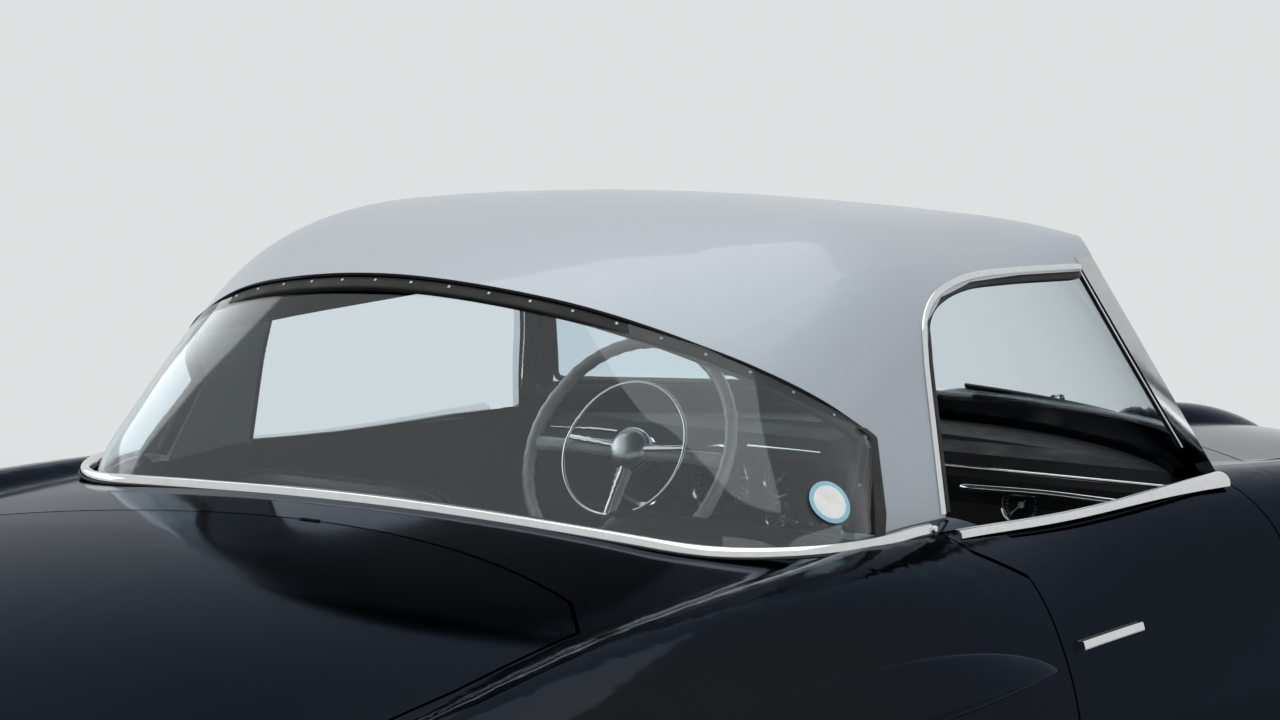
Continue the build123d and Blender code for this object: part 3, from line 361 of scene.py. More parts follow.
def move(grid, place):
    """Points turned and shifted by a 4x4 placement."""
    m = np.array(place)
    return grid @ m[:3, :3].T + m[:3, 3]


def placement(origin, x_axis, y_axis):
    """A placement whose local x and y run along two directions in the car."""
    x = unit(x_axis)
    z = unit(np.cross(x, y_axis))
    y = np.cross(z, x)
    m = np.eye(4)
    m[:3, 0], m[:3, 1], m[:3, 2], m[:3, 3] = x, y, z, origin
    return m


def both_sides(*surfaces):
    """The surfaces, and the same ones on the car's other side."""
    return [*surfaces, *((grid * [-1, 1, 1], *wraps) for grid, *wraps in surfaces)]


def skin_of(*names):
    """A search tree over the surfaces of some solids."""
    points, faces, start = [], [], 0
    for name in names:
        mesh = NODES[name].data
        co = np.empty(len(mesh.vertices) * 3)
        mesh.vertices.foreach_get("co", co)
        points += co.reshape(-1, 3).tolist()
        faces += [[v + start for v in p.vertices] for p in mesh.polygons]
        start = len(points)
    return BVHTree.FromPolygons(points, faces)


def first_hit(tree, start, direction):
    """Where a ray meets the solids first, or None."""
    hit = tree.ray_cast(Vector(start), Vector(direction))[0]
    return None if hit is None else np.array(hit)


def solid_hit(tree, start, direction, what):
    """Where a ray meets the solids; a miss is an error that says what has no place."""
    hit = first_hit(tree, start, direction)
    if hit is None:
        raise RuntimeError(f"no place for the {what} on the solids")
    return hit


def hit_grid(tree, starts, direction, spare):
    """Where rays from a grid of starts meet the solids; where one misses, the spare point."""
    found = [first_hit(tree, start, direction) for start in starts.reshape(-1, 3)]
    found = [other if hit is None else hit for hit, other in zip(found, spare.reshape(-1, 3))]
    return np.array(found).reshape(starts.shape)


def all_hits(tree, starts, direction):
    """Where rays from several starts meet the solids first, without those that miss."""
    found = [first_hit(tree, start, direction) for start in starts]
    return np.array([hit for hit in found if hit is not None])


def dropped(tree, points):
    """Points (x, y) set down on the solids from above."""
    return all_hits(tree, [(x, y, ABOVE_CAR) for x, y in points], (0, 0, -1))


# Finishes

# Noise seldom leaves this part of zero to one
USED_RANGE = (0.3, 0.7)


def new_material(name, colour, roughness, metallic=0.0, **values):
    """A material whose plain values sit on the shader's own sockets."""
    material = bpy.data.materials.new(name)
    material.use_nodes = True
    shader = material.node_tree.nodes["Principled BSDF"]
    values = {"base_color": (*colour, 1), "roughness": roughness, "metallic": metallic, **values}
    for key, value in values.items():
        shader.inputs[key.replace("_", " ").title().replace("Ior", "IOR")].default_value = value
    return material


def add(tree, kind):
    """A new shader node."""
    return tree.nodes.new("ShaderNode" + kind)


def join(tree, *pairs):
    """Links sockets: each pair is an output and the input that it feeds."""
    for source, target in pairs:
        tree.links.new(source, target)


def pattern(material, kind, scale, stretch=(1, 1, 1), **values):
    """A texture node on the car's own coordinates, stretched along its axes."""
    tree = material.node_tree
    coordinates = tree.nodes.get("Coordinates") or add(tree, "TexCoord")
    coordinates.name = "Coordinates"
    mapping, texture = add(tree, "Mapping"), add(tree, kind)
    mapping.inputs["Scale"].default_value = stretch
    for key, value in {"scale": scale, **values}.items():
        texture.inputs[key.title()].default_value = value
    join(tree, (coordinates.outputs["Object"], mapping.inputs["Vector"]),
         (mapping.outputs["Vector"], texture.inputs["Vector"]))
    return texture


def noise(material, scale, detail, stretch=(1, 1, 1)):
    """Cloudy noise with a number of finer layers."""
    return pattern(material, "TexNoise", scale, stretch, detail=detail)


def roughen(material, source, low, high):
    """Lets a pattern's used range move the roughness from a low to a high value."""
    tree = material.node_tree
    spread = add(tree, "MapRange")
    for socket, value in zip(("From Min", "From Max", "To Min", "To Max"), (*USED_RANGE, low, high)):
        spread.inputs[socket].default_value = value
    join(tree, (source.outputs[0], spread.inputs["Value"]),
         (spread.outputs["Result"], tree.nodes["Principled BSDF"].inputs["Roughness"]))


def mottle(material, source, first, second):
    """Lets a pattern's used range blend the colour between two shades."""
    tree = material.node_tree
    ramp = add(tree, "ValToRGB")
    for stop, position, tint in zip(ramp.color_ramp.elements, USED_RANGE, (first, second)):
        stop.position, stop.color = position, (*tint, 1)
    join(tree, (source.outputs[0], ramp.inputs["Fac"]),
         (ramp.outputs["Color"], tree.nodes["Principled BSDF"].inputs["Base Color"]))


def emboss(material, source, strength, distance):
    """Lets a pattern raise the surface; a second call lies on the first."""
    tree = material.node_tree
    normal = tree.nodes["Principled BSDF"].inputs["Normal"]
    bump = add(tree, "Bump")
    bump.inputs["Strength"].default_value = strength
    bump.inputs["Distance"].default_value = distance
    if normal.links:
        join(tree, (normal.links[0].from_socket, bump.inputs["Normal"]))
    join(tree, (source.outputs[0], bump.inputs["Height"]), (bump.outputs["Normal"], normal))


def shade(colour, factor):
    """The same hue, lighter or darker."""
    return tuple(min(1.0, c * factor) for c in colour)


def paint_black(name):
    """Deep black gloss: it mirrors one to two parts in a hundred at every angle, and the edge
    tint keeps a grazing view of the deck from washing out against the pale studio."""
    c = tuple(colours().body)
    m = new_material(name, c, 0.05, 1.0, specular_tint=(0.50, 0.52, 0.56, 1))
    haze = noise(m, 3.0, 6.0)
    roughen(m, haze, 0.07, 0.11)
    mottle(m, haze, shade(c, 0.95), shade(c, 1.08))
    emboss(m, noise(m, 260.0, 2.0), 0.010, 0.0002)
    return m


def paint_silver(name):
    """Metallic paint: fine flake under a thin clear coat."""
    c = tuple(colours().roof)
    m = new_material(name, c, 0.46, 0.3, coat_weight=0.45, coat_roughness=0.04)
    flake = noise(m, 1400.0, 1.0)
    mottle(m, flake, shade(c, 0.9), shade(c, 1.1))
    roughen(m, noise(m, 5.0, 5.0), 0.38, 0.47)
    emboss(m, flake, 0.02, 0.0002)
    return m


def plated(name):
    """Bright plating with faint smears."""
    c = tuple(colours().chrome)
    m = new_material(name, c, 0.08, 1.0)
    smear = noise(m, 14.0, 8.0)
    roughen(m, smear, 0.04, 0.14)
    mottle(m, noise(m, 60.0, 6.0), shade(c, 0.93), c)
    return m


def brushed(name):
    """Metal with fine lines along X."""
    m = new_material(name, (0.48, 0.49, 0.50), 0.32, 1.0)
    lines = noise(m, 120.0, 5.0, (1, 14, 14))
    roughen(m, lines, 0.24, 0.42)
    emboss(m, lines, 0.05, 0.0003)
    return m


def cast_metal(name):
    """Grainy, unevenly grey casting."""
    m = new_material(name, (0.30, 0.31, 0.32), 0.5, 0.9)
    grain = noise(m, 220.0, 4.0)
    mottle(m, noise(m, 9.0, 6.0), (0.22, 0.22, 0.23), (0.38, 0.39, 0.40))
    emboss(m, grain, 0.35, 0.0008)
    return m


def chassis_black(name):
    """Dusty black paint of the underside."""
    m = new_material(name, (0.018, 0.018, 0.019), 0.55)
    dust = noise(m, 7.0, 7.0)
    mottle(m, dust, (0.012, 0.012, 0.013), (0.045, 0.042, 0.038))
    roughen(m, dust, 0.45, 0.7)
    emboss(m, noise(m, 150.0, 3.0), 0.2, 0.0006)
    return m


def rubber(name, low, high):
    """Rubber that varies between two dark shades, with a fine skin."""
    m = new_material(name, low, 0.6)
    dust = noise(m, 22.0, 7.0)
    mottle(m, dust, low, high)
    roughen(m, dust, 0.5, 0.75)
    emboss(m, noise(m, 420.0, 3.0), 0.25, 0.0004)
    return m


def hide(name):
    """Leather: fine cells over soft creases, worn paler in places."""
    c = tuple(colours().leather)
    m = new_material(name, c, 0.42, ior=1.5)
    emboss(m, pattern(m, "TexVoronoi", 340.0), 0.28, 0.0009)
    emboss(m, noise(m, 40.0, 6.0), 0.12, 0.002)
    wear = noise(m, 8.0, 8.0)
    roughen(m, wear, 0.34, 0.56)
    mottle(m, wear, shade(c, 0.8), shade(c, 1.7))
    return m


def carpet(name):
    """Looped pile."""
    m = new_material(name, (0.03, 0.03, 0.032), 0.95, sheen_weight=0.3)
    loops = pattern(m, "TexVoronoi", 420.0)
    mottle(m, noise(m, 300.0, 3.0), (0.015, 0.015, 0.016), (0.06, 0.06, 0.063))
    emboss(m, loops, 0.8, 0.002)
    return m


def headlining(name):
    """Woven cloth of the roof's inside."""
    m = new_material(name, (0.34, 0.34, 0.33), 0.9, sheen_weight=0.4)
    weave = noise(m, 700.0, 2.0)
    mottle(m, weave, (0.28, 0.28, 0.27), (0.40, 0.40, 0.39))
    emboss(m, weave, 0.3, 0.0006)
    return m


def clear_pane(name):
    """Window glass, a hair duller in patches."""
    c = tuple(colours().glass)
    m = new_material(name, c, 0.0, transmission_weight=1.0, ior=1.5)
    roughen(m, noise(m, 9.0, 7.0), 0.0, 0.012)
    return m


def lens(name, c, scale):
    """A fluted lamp glass in a colour."""
    m = new_material(name, c, 0.08, transmission_weight=0.75, ior=1.49)
    flutes = pattern(m, "TexWave", scale, distortion=0.0)
    emboss(m, flutes, 0.6, 0.002)
    roughen(m, noise(m, 30.0, 4.0), 0.04, 0.12)
    return m


def moulded_rim(name):
    """The steering wheel's aged moulding."""
    c = tuple(colours().rim)
    m = new_material(name, c, 0.28, coat_weight=0.4, ior=1.5, subsurface_weight=0.08)
    age = noise(m, 26.0, 8.0)
    mottle(m, age, shade(c, 0.86), shade(c, 1.06))
    roughen(m, age, 0.22, 0.36)
    return m


def enamel(name, c, roughness=0.35):
    """A plain painted or printed finish with a little unevenness."""
    m = new_material(name, c, roughness, coat_weight=0.3)
    uneven = noise(m, 45.0, 6.0)
    mottle(m, uneven, shade(c, 0.92), shade(c, 1.08))
    roughen(m, uneven, roughness * 0.8, roughness * 1.25)
    emboss(m, noise(m, 500.0, 2.0), 0.03, 0.0002)
    return m


def pale_floor(name):
    """Pale near the car, where it keeps the shadow, fading with distance to the background."""
    m = new_material(name, (0.72, 0.72, 0.71), 0.8)
    mottle(m, noise(m, 2.5, 8.0), (0.71, 0.71, 0.70), (0.74, 0.74, 0.73))
    tree = m.node_tree
    far, mix, both = add(tree, "Emission"), add(tree, "MixShader"), add(tree, "Math")
    length, fade = add(tree, "VectorMath"), add(tree, "MapRange")
    length.operation, both.operation = "LENGTH", "MULTIPLY"
    fade.interpolation_type = "SMOOTHSTEP"
    fade.inputs["From Min"].default_value, fade.inputs["From Max"].default_value = FLOOR_FADE
    far.inputs["Color"].default_value = (*BACKGROUND, 1)
    join(tree, (tree.nodes["Coordinates"].outputs["Object"], length.inputs[0]),
         (length.outputs["Value"], fade.inputs["Value"]),
         (fade.outputs["Result"], both.inputs[0]),
         (seen_rays(tree).outputs[0], both.inputs[1]),
         (both.outputs[0], mix.inputs["Fac"]),
         (tree.nodes["Principled BSDF"].outputs["BSDF"], mix.inputs[1]),
         (far.outputs["Emission"], mix.inputs[2]),
         (mix.outputs["Shader"], tree.nodes["Material Output"].inputs["Surface"]))
    return m


# Each finish's maker and the values that it takes after the name
FINISHES = {
    "black_paint": (paint_black,),
    "silver_paint": (paint_silver,),
    "chrome": (plated,),
    "brushed_metal": (brushed,),
    "cast_metal": (cast_metal,),
    "chassis_black": (chassis_black,),
    "leather": (hide,),
    "carpet": (carpet,),
    "headlining": (headlining,),
    "pane": (clear_pane,),
    "moulded_rim": (moulded_rim,),
    "pale_floor": (pale_floor,),
    "tyre_rubber": (rubber, (0.012, 0.012, 0.012), (0.035, 0.034, 0.032)),
    "seal_rubber": (rubber, (0.006, 0.006, 0.006), (0.014, 0.014, 0.014)),
    "brow_black": (rubber, (0.010, 0.010, 0.010), (0.020, 0.020, 0.021)),
    "lamp_lens": (lens, (0.95, 0.97, 1.0), 60.0),
    "red_lens": (lens, (0.55, 0.01, 0.01), 90.0),
    "amber_lens": (lens, (0.9, 0.32, 0.02), 90.0),
    "dial_black": (enamel, (0.012, 0.012, 0.013)),
    "dial_white": (enamel, (0.8, 0.8, 0.76)),
    "sticker_blue": (enamel, (0.25, 0.52, 0.62)),
    "plate_blank": (enamel, (0.62, 0.62, 0.60), 0.4),
}
# The materials made so far, by name
_made = {}


def finish(name):
    """A finish by name, made when it is first asked for."""
    if name not in _made:
        maker, *values = FINISHES[name]
        _made[name] = maker(name, *values)
    return _made[name]


# The solids that wear each finish
NODE_FINISHES = {
    "black_paint": ["front_body", "rear_body", "sill_left", "sill_right", "door_left",
                    "door_right", "hood", "trunk_lid"],
    "silver_paint": ["hardtop"],
    "chrome": ["windscreen_frame", "deck_rail", "front_bumper", "rear_bumper", "grille", "mirror"],
    "pane": ["windscreen_glass", "rear_glass"],
    "brow_black": ["dashboard", "steering_column"],
    "carpet": ["floor_pan"],
    "cast_metal": ["engine", "rear_axle", "knuckle_left", "knuckle_right"],
    "chassis_black": ["front_crossmember"],
    "brushed_metal": ["exhaust", "wheel_front_left", "wheel_front_right", "wheel_rear_left",
                      "wheel_rear_right"],
    "lamp_lens": ["headlamp_left", "headlamp_right"],
    "red_lens": ["tail_lamp_left", "tail_lamp_right"],
    "leather": ["seat_left", "seat_right"],
    "tyre_rubber": ["tyre_front_left", "tyre_front_right", "tyre_rear_left", "tyre_rear_right"],
    "moulded_rim": ["steering_wheel"],
}


# Curves that several pieces follow

def hardtop_edge():
    """The hardtop's rear edge from the left pillar's foot over the crown to the right one: up
    the pillar the point is where a ray from the side meets the roof just ahead of the cut,
    over the crown it is the last point along Y where a ray from above still meets it, found
    by halving."""
    roof = skin_of("hardtop")
    (y0, z0), (y1, z1), (y2, z2) = HARDTOP_CUT
    slope = (z2 - z1) / (y2 - y1)
    pillar = [(y0 + t * (y1 - y0), z0 + t * (z1 - z0), 0.003) for t in np.linspace(0.02, 1, 14)]
    bend = [(y1 + (z - z1) / slope, z, 0.004) for z in np.linspace(z1 + 0.006, z1 + 0.110, 12)]
    left = []
    for y, z, ahead in pillar + bend:
        hit = first_hit(roof, (BESIDE_ROOF, y - ahead, z), (-1, 0, 0))
        if hit is not None:
            left.append((hit[0], y, z))
    for x in np.linspace(left[-1][0] - 0.02, 0.0, 26):
        near, far = 0.3, 1.0
        for _ in range(18):
            middle = (near + far) / 2
            hit = first_hit(roof, (x, middle, ABOVE_CAR), (0, 0, -1))
            on_roof = hit is not None and hit[2] > z1 + slope * (middle - y1) - 0.004
            near, far = (middle, far) if on_roof else (near, middle)
        left.append((x, near, z1 + slope * (near - y1)))
    left = np.array(left)
    whole = np.vstack([left, left[-2::-1] * [-1, 1, 1]])
    return smooth_path(whole[::2] if len(whole) % 2 else whole, 140)


def away_from_roof(path):
    """At each point of the rear edge, the direction square to the cut that leads off the roof:
    rearward up the pillar, turning to rearward and down over the crown."""
    pillar_head = HARDTOP_CUT[1][1]
    blend = np.clip((path[:, 2] - pillar_head + 0.03) / 0.06, 0, 1)[:, None]
    return unit(unit([0.0, 0.885, 0.465]) * (1 - blend) + unit([0.0, 0.594, -0.805]) * blend)


def window_edge():
    """The roof's side opening on the left, on the roof's outer surface."""
    roof = skin_of("hardtop")
    points = smooth_path(WINDOW_EDGE, 60)
    step = np.gradient(points, axis=0)
    outward = unit(np.stack([-step[:, 1], step[:, 0]], axis=1)) * -1
    starts = [(BESIDE_ROOF, y, z) for y, z in points + 0.006 * outward]
    return even_path(all_hits(roof, starts, (-1, 0, 0)), 80)


def seen_rays(tree):
    """One where a camera, mirror or glass ray looks, and zero for scattered light."""
    path, first, second = add(tree, "LightPath"), add(tree, "Math"), add(tree, "Math")
    first.operation = second.operation = "MAXIMUM"
    join(tree, (path.outputs["Is Camera Ray"], first.inputs[0]),
         (path.outputs["Is Glossy Ray"], first.inputs[1]),
         (first.outputs[0], second.inputs[0]),
         (path.outputs["Is Transmission Ray"], second.inputs[1]))
    return second


class RoadsterPart:
    """What the operators share: they are listed in the panel and can be undone."""

    bl_options = {"REGISTER", "UNDO"}


class ROADSTER_OT_stage(RoadsterPart, bpy.types.Operator):
    """Makes the floor, the soft studio light and the camera at the photograph's angle."""

    bl_idname = "roadster.stage"
    bl_label = "Stage"

    def execute(self, context):
        self.floor(context)
        for name, size, energy, place, target in [
            ("lamp_top", (8.0, 5.0), 130, (0.4, 0.6, 5.2), (0, 0.2, 0.6)),
            ("lamp_rear", (5.0, 3.0), 95, (-5.4, 6.4, 4.2), (0, 0.4, 0.8)),
            ("lamp_left", (6.0, 2.4), 60, (6.6, 0.8, 3.2), (0, 0.2, 0.7)),
            ("lamp_right", (6.0, 2.4), 95, (-6.8, 1.0, 3.4), (0, 0.2, 0.7)),
        ]:
            lamp = bpy.data.lights.new(name, "AREA")
            lamp.shape, lamp.size, lamp.size_y, lamp.energy = "RECTANGLE", *size, energy
            thing = bpy.data.objects.new(name, lamp)
            thing.location = place
            thing.rotation_euler = (Vector(target) - Vector(place)).to_track_quat("-Z", "Y").to_euler()
            thing.visible_glossy = name in ("lamp_top", "lamp_left")
            context.collection.objects.link(thing)
        self.sky(context)
        self.camera(context)
        return {"FINISHED"}

    def floor(self, context):
        """A round floor a hair below the tyres: rings of growing radius about the origin."""
        t = full_turn(64)
        grid = np.stack([np.stack([r * np.cos(t), r * np.sin(t), 0 * t - 0.0005], axis=1)
                         for r in (0.01, 6.0, 16.0, 40.0)])
        faces = grid_faces(*grid.shape[:2], False, True)
        mesh = bpy.data.meshes.new("floor")
        mesh.from_pydata(grid.reshape(-1, 3).tolist(), [], faces[:, ::-1].tolist())
        mesh.materials.append(finish("pale_floor"))
        floor = bpy.data.objects.new("floor", mesh)
        context.collection.objects.link(floor)
        return floor

    def sky(self, context):
        """The background's pale colour for what the camera, metal and glass see; a soft
        gradient from the horizon to the top as light."""
        world = bpy.data.worlds.new("studio")
        world.use_nodes = True
        tree = world.node_tree
        tree.nodes.clear()
        out, mix, ramp = add(tree, "OutputWorld"), add(tree, "MixShader"), add(tree, "ValToRGB")
        light, plain = add(tree, "Background"), add(tree, "Background")
        place, split = add(tree, "TexCoord"), add(tree, "SeparateXYZ")
        for stop, tint in zip(ramp.color_ramp.elements, (HORIZON_LIGHT, ZENITH_LIGHT)):
            stop.color = (*tint, 1)
        plain.inputs["Color"].default_value = (*BACKGROUND, 1)
        light.inputs["Strength"].default_value = SKY_STRENGTH
        join(tree, (place.outputs["Generated"], split.inputs["Vector"]),
             (split.outputs["Z"], ramp.inputs["Fac"]),
             (ramp.outputs["Color"], light.inputs["Color"]),
             (seen_rays(tree).outputs[0], mix.inputs["Fac"]),
             (light.outputs["Background"], mix.inputs[1]),
             (plain.outputs["Background"], mix.inputs[2]),
             (mix.outputs["Shader"], out.inputs["Surface"]))
        context.scene.world = world

    def camera(self, context):
        """Stands where the photograph was taken from, with its lens."""
        yaw, pitch, roll = (radians(angle) for angle in EYE_TURN)
        view = Vector((sin(yaw) * cos(pitch), -cos(yaw) * cos(pitch), sin(pitch)))
        right = view.cross(Vector((0, 0, 1))).normalized()
        up = right.cross(view)
        across = cos(roll) * right + sin(roll) * up
        above = cos(roll) * up - sin(roll) * right
        lens = bpy.data.cameras.new("camera")
        lens.lens, lens.sensor_width, lens.clip_end = EYE_LENS, 36.0, 200.0
        camera = bpy.data.objects.new("camera", lens)
        camera.matrix_world = Matrix.Translation(EYE) @ Matrix(
            (across, above, -view)).transposed().to_4x4()
        context.collection.objects.link(camera)
        context.scene.camera = camera
        context.scene.view_settings.view_transform = "Standard"


class ROADSTER_OT_node_finishes(RoadsterPart, bpy.types.Operator):
    """Gives each solid of the car its finish."""

    bl_idname = "roadster.node_finishes"
    bl_label = "Finishes of the solids"

    def execute(self, context):
        finished = {name for names in NODE_FINISHES.values() for name in names}
        missing = set(NODES) - finished
        if missing:
            raise RuntimeError(f"solids without a finish: {sorted(missing)}")
        for kind, names in NODE_FINISHES.items():
            for name in names:
                node = NODES[name]
                if not node.material_slots:
                    raise RuntimeError(f"{name} has no material slot")
                for slot in node.material_slots:
                    slot.material = finish(kind)
                if kind in ("black_paint", "silver_paint"):
                    even = node.modifiers.new("even shading", "WEIGHTED_NORMAL")
                    even.mode, even.weight, even.keep_sharp = "FACE_AREA_WITH_ANGLE", 60, True
        return {"FINISHED"}


class ROADSTER_OT_hardtop_seal(RoadsterPart, bpy.types.Operator):
    """Makes the dark band, its bright lip and its screws along the hardtop's rear edge."""

    bl_idname = "roadster.hardtop_seal"
    bl_label = "Rear seal of the hardtop"

    def execute(self, context):
        edge = hardtop_edge()
        away = away_from_roof(edge)
        normal, _ = path_frame(edge, away)
        normal *= np.sign(np.sum(normal * (edge - CABIN_MIDDLE), axis=1, keepdims=True))
        width, depth = sizes().seal_width, 0.012
        band = edge + away * (width / 2 - 0.004) - normal * 0.008
        make_piece("hardtop_seal", [sweep(band, soft_box(depth, width, 0.004), away)], "seal_rubber")
        lip = edge + away * 0.0005 - normal * 0.001
        make_piece("hardtop_lip", [sweep(lip, rod(0.006), away)], "black_paint")
        run = np.linalg.norm(np.diff(band, axis=0), axis=1).sum()
        count = int(run / sizes().screw_pitch)
        heads = even_path(band, count + 2)[1:-1]
        k = np.linspace(0, len(band) - 1, count + 2)[1:-1].round().astype(int)
        dome = [(0.0, 0.0014), (0.0013, 0.0013), (0.0022, 0.0008), (0.0026, -0.0004), (0.0, -0.0004)]
        screws = [lathe(dome, p + normal[i] * depth / 2, normal[i], 10) for p, i in zip(heads, k)]
        make_piece("seal_screws", screws, "brushed_metal")
        return {"FINISHED"}


class ROADSTER_OT_rear_pane(RoadsterPart, bpy.types.Operator):
    """Makes the wrapped rear pane anew as one even grid, so that it bends light smoothly."""

    bl_idname = "roadster.rear_pane"
    bl_label = "Rear pane"

    def execute(self, context):
        """Each column of the grid stands at an angle about the cabin's middle. Its points'
        distances from the middle are evened, and the inner face lies a pane's thickness in."""
        glass = skin_of("rear_glass")
        half_angle, fewest = radians(86), 60
        columns = [(a, self.column(glass, a)) for a in np.linspace(-half_angle, half_angle, 131)]
        columns = [(a, column) for a, column in columns if column is not None]
        if len(columns) < fewest:
            raise RuntimeError("the rear pane isn't where its grid is laid")
        out = np.array([[sin(a), cos(a), 0.0] for a, _ in columns])[:, None, :]
        outer = np.array([column for _, column in columns])
        reach = np.sum((outer - PANE_MIDDLE) * out, axis=2)
        for _ in range(5):
            reach[1:-1] = (reach[:-2] + 2 * reach[1:-1] + reach[2:]) / 4
            reach[:, 1:-1] = (reach[:, :-2] + 2 * reach[:, 1:-1] + reach[:, 2:]) / 4
        outer = np.concatenate([(PANE_MIDDLE + reach[..., None] * out)[..., :2], outer[..., 2:]], axis=2)
        normal = unit(np.cross(np.gradient(outer, axis=0), np.gradient(outer, axis=1)))
        normal *= np.sign(np.sum(normal * out, axis=2, keepdims=True))
        pane = make_piece("rear_pane", [walled(outer, outer - PANE_THICKNESS * normal)], "pane")
        make_piece("pane_end_seals", both_sides(self.end_seal(glass)), "seal_rubber")
        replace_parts(pane, "rear_glass")
        return {"FINISHED"}

    @staticmethod
    def end_seal(glass):
        """The rubber wall that closes the wedge between the pillar's foot and the pane's end:
        at each height a short bar from the pillar's skin out to the pane's outer face."""
        roof = skin_of("hardtop")
        (y0, z0), (y1, z1) = HARDTOP_CUT[:2]
        loops = []
        for z in np.linspace(0.8985, 1.030, 30):
            y = y0 + (min(z, z1) - z0) * (y1 - y0) / (z1 - z0) + max(0.0, z - z1) * 1.25
            pillar = first_hit(roof, (BESIDE_ROOF, y - 0.008, z), (-1, 0, 0))
            pane = first_hit(glass, (BESIDE_ROOF, y + 0.012, z), (-1, 0, 0))
            if pillar is None or pane is None or pane[0] < pillar[0] + 0.001:
                continue
            near, far = pillar[0] - 0.006, pane[0] + 0.0018
            loops.append([(near, y - 0.004, z), (far - 0.001, y - 0.004, z), (far, y - 0.003, z),
                          (far, y + 0.011, z), (far - 0.001, y + 0.012, z), (far - 0.009, y + 0.012, z),
                          (far - 0.009, y + 0.003, z), (near, y + 0.003, z)])
        if len(loops) < 8:
            raise RuntimeError("the pane's end isn't beside the pillar")
        return capped(np.array(loops))

    @staticmethod
    def column(glass, angle):
        """The pane's outer face at one angle, from its lower edge to its upper one."""
        out = np.array([sin(angle), cos(angle), 0.0])
        coarse, margin, least_reach = 0.004, 0.0004, 0.3

        def hit(z):
            """The outer face at a height, or None where only the far side is met."""
            found = first_hit(glass, PANE_MIDDLE + out * BESIDE_CAR + [0, 0, z], -out)
            near = found is not None and np.dot(found - PANE_MIDDLE, out) > least_reach
            return found if near else None

        levels = [z for z in np.arange(0.86, 1.25, coarse) if hit(z) is not None]
        if len(levels) < 4:
            return None
        edges = []
        for inside, beyond in ((levels[0], levels[0] - coarse), (levels[-1], levels[-1] + coarse)):
            for _ in range(7):
                middle = (inside + beyond) / 2
                inside, beyond = (middle, beyond) if hit(middle) is not None else (inside, middle)
            edges.append(inside)
        points = [hit(z) for z in np.linspace(edges[0] + margin, edges[1] - margin, 34)]
        return None if any(p is None for p in points) else np.array(points)


class ROADSTER_OT_window_mouldings(RoadsterPart, bpy.types.Operator):
    """Makes the bright moulding and the rubber round the roof's side windows."""

    bl_idname = "roadster.window_mouldings"
    bl_label = "Side window mouldings"

    def execute(self, context):
        path = window_edge()
        outward = (1, 0, 0.25)
        window_middle = np.array([0.58, 0.05, 1.05])
        bright = sweep(path + [0.001, 0, 0], ellipse(sizes().drip_width, 0.007, 10), outward)
        make_piece("drip_mouldings", both_sides(bright), "chrome")
        step = unit(np.gradient(path, axis=0))
        inward = unit(np.cross(step, [1.0, 0, 0]))
        inward *= np.sign(np.sum(inward * (window_middle - path), axis=1, keepdims=True))
        rubber_path = path + inward * 0.013 - [0.008, 0, 0]
        dark = sweep(rubber_path, soft_box(0.014, 0.020, 0.004), outward)
        make_piece("window_rubbers", both_sides(dark), "seal_rubber")
        return {"FINISHED"}


class ROADSTER_OT_belt_strips(RoadsterPart, bpy.types.Operator):
    """Makes the bright strip round the cockpit, on the deck and along the door tops."""

    bl_idname = "roadster.belt_strips"
    bl_label = "Belt strips"

    def execute(self, context):
        half, rear, corner, front = 0.679, 0.839, 0.229, 0.528
        a = np.linspace(0, pi / 2, 14)
        bend = np.stack([half - corner + corner * np.cos(a), rear - corner + corner * np.sin(a)], axis=1)
        side = np.stack([np.full(6, half), np.linspace(front, rear - corner - 0.02, 6)], axis=1)
        across = np.stack([np.linspace(half - corner - 0.04, 0.0, 10), np.full(10, rear)], axis=1)
        plan = np.vstack([side, bend, across])
        plan = np.vstack([plan, plan[-2::-1] * [-1, 1]])
        deck = dropped(skin_of("rear_body", "trunk_lid"), plan)
        deck[:, 2] = smooth_numbers(deck[:, 2])
        path = even_path(deck, 120)
        bead = sweep(path + [0, 0, 0.0025], half_round(0.017, 0.0105), UPWARD)
        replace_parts(make_piece("cockpit_rail", [bead], "chrome"), "deck_rail")
        gasket = sweep(path - [0, 0, 0.0006], soft_box(0.021, 0.0036, 0.0015), UPWARD)
        make_piece("rail_gasket", [gasket], "seal_rubber")
        for name, sign in SIDES:
            y = np.linspace(-0.325, 0.520, 40)
            x = sign * (0.703 + 0.010 * np.clip((-0.05 - y) / 0.3, 0, 1) ** 2)
            top = dropped(skin_of(f"door_{name}"), np.stack([x, y], axis=1))
            top[:, 2] = smooth_numbers(top[:, 2])
            wider = 1 + 0.9 * np.clip((0.05 - top[:, 1]) / 0.37, 0, 1) ** 1.5
            strip = sweep(top + [0, 0, 0.001], half_round(0.021, 0.009), UPWARD, taper=wider)
            make_piece(f"door_strip_{name}", [strip], "chrome", f"door_{name}")
        clip = placement((0.681, 0.5285, deck[0, 2] + 0.006), (1, 0, 0), (0, 1, 0))
        make_piece("strip_clips", both_sides(panel(soft_box(0.023, 0.009, 0.003), 0.009, clip)), "chrome")
        return {"FINISHED"}


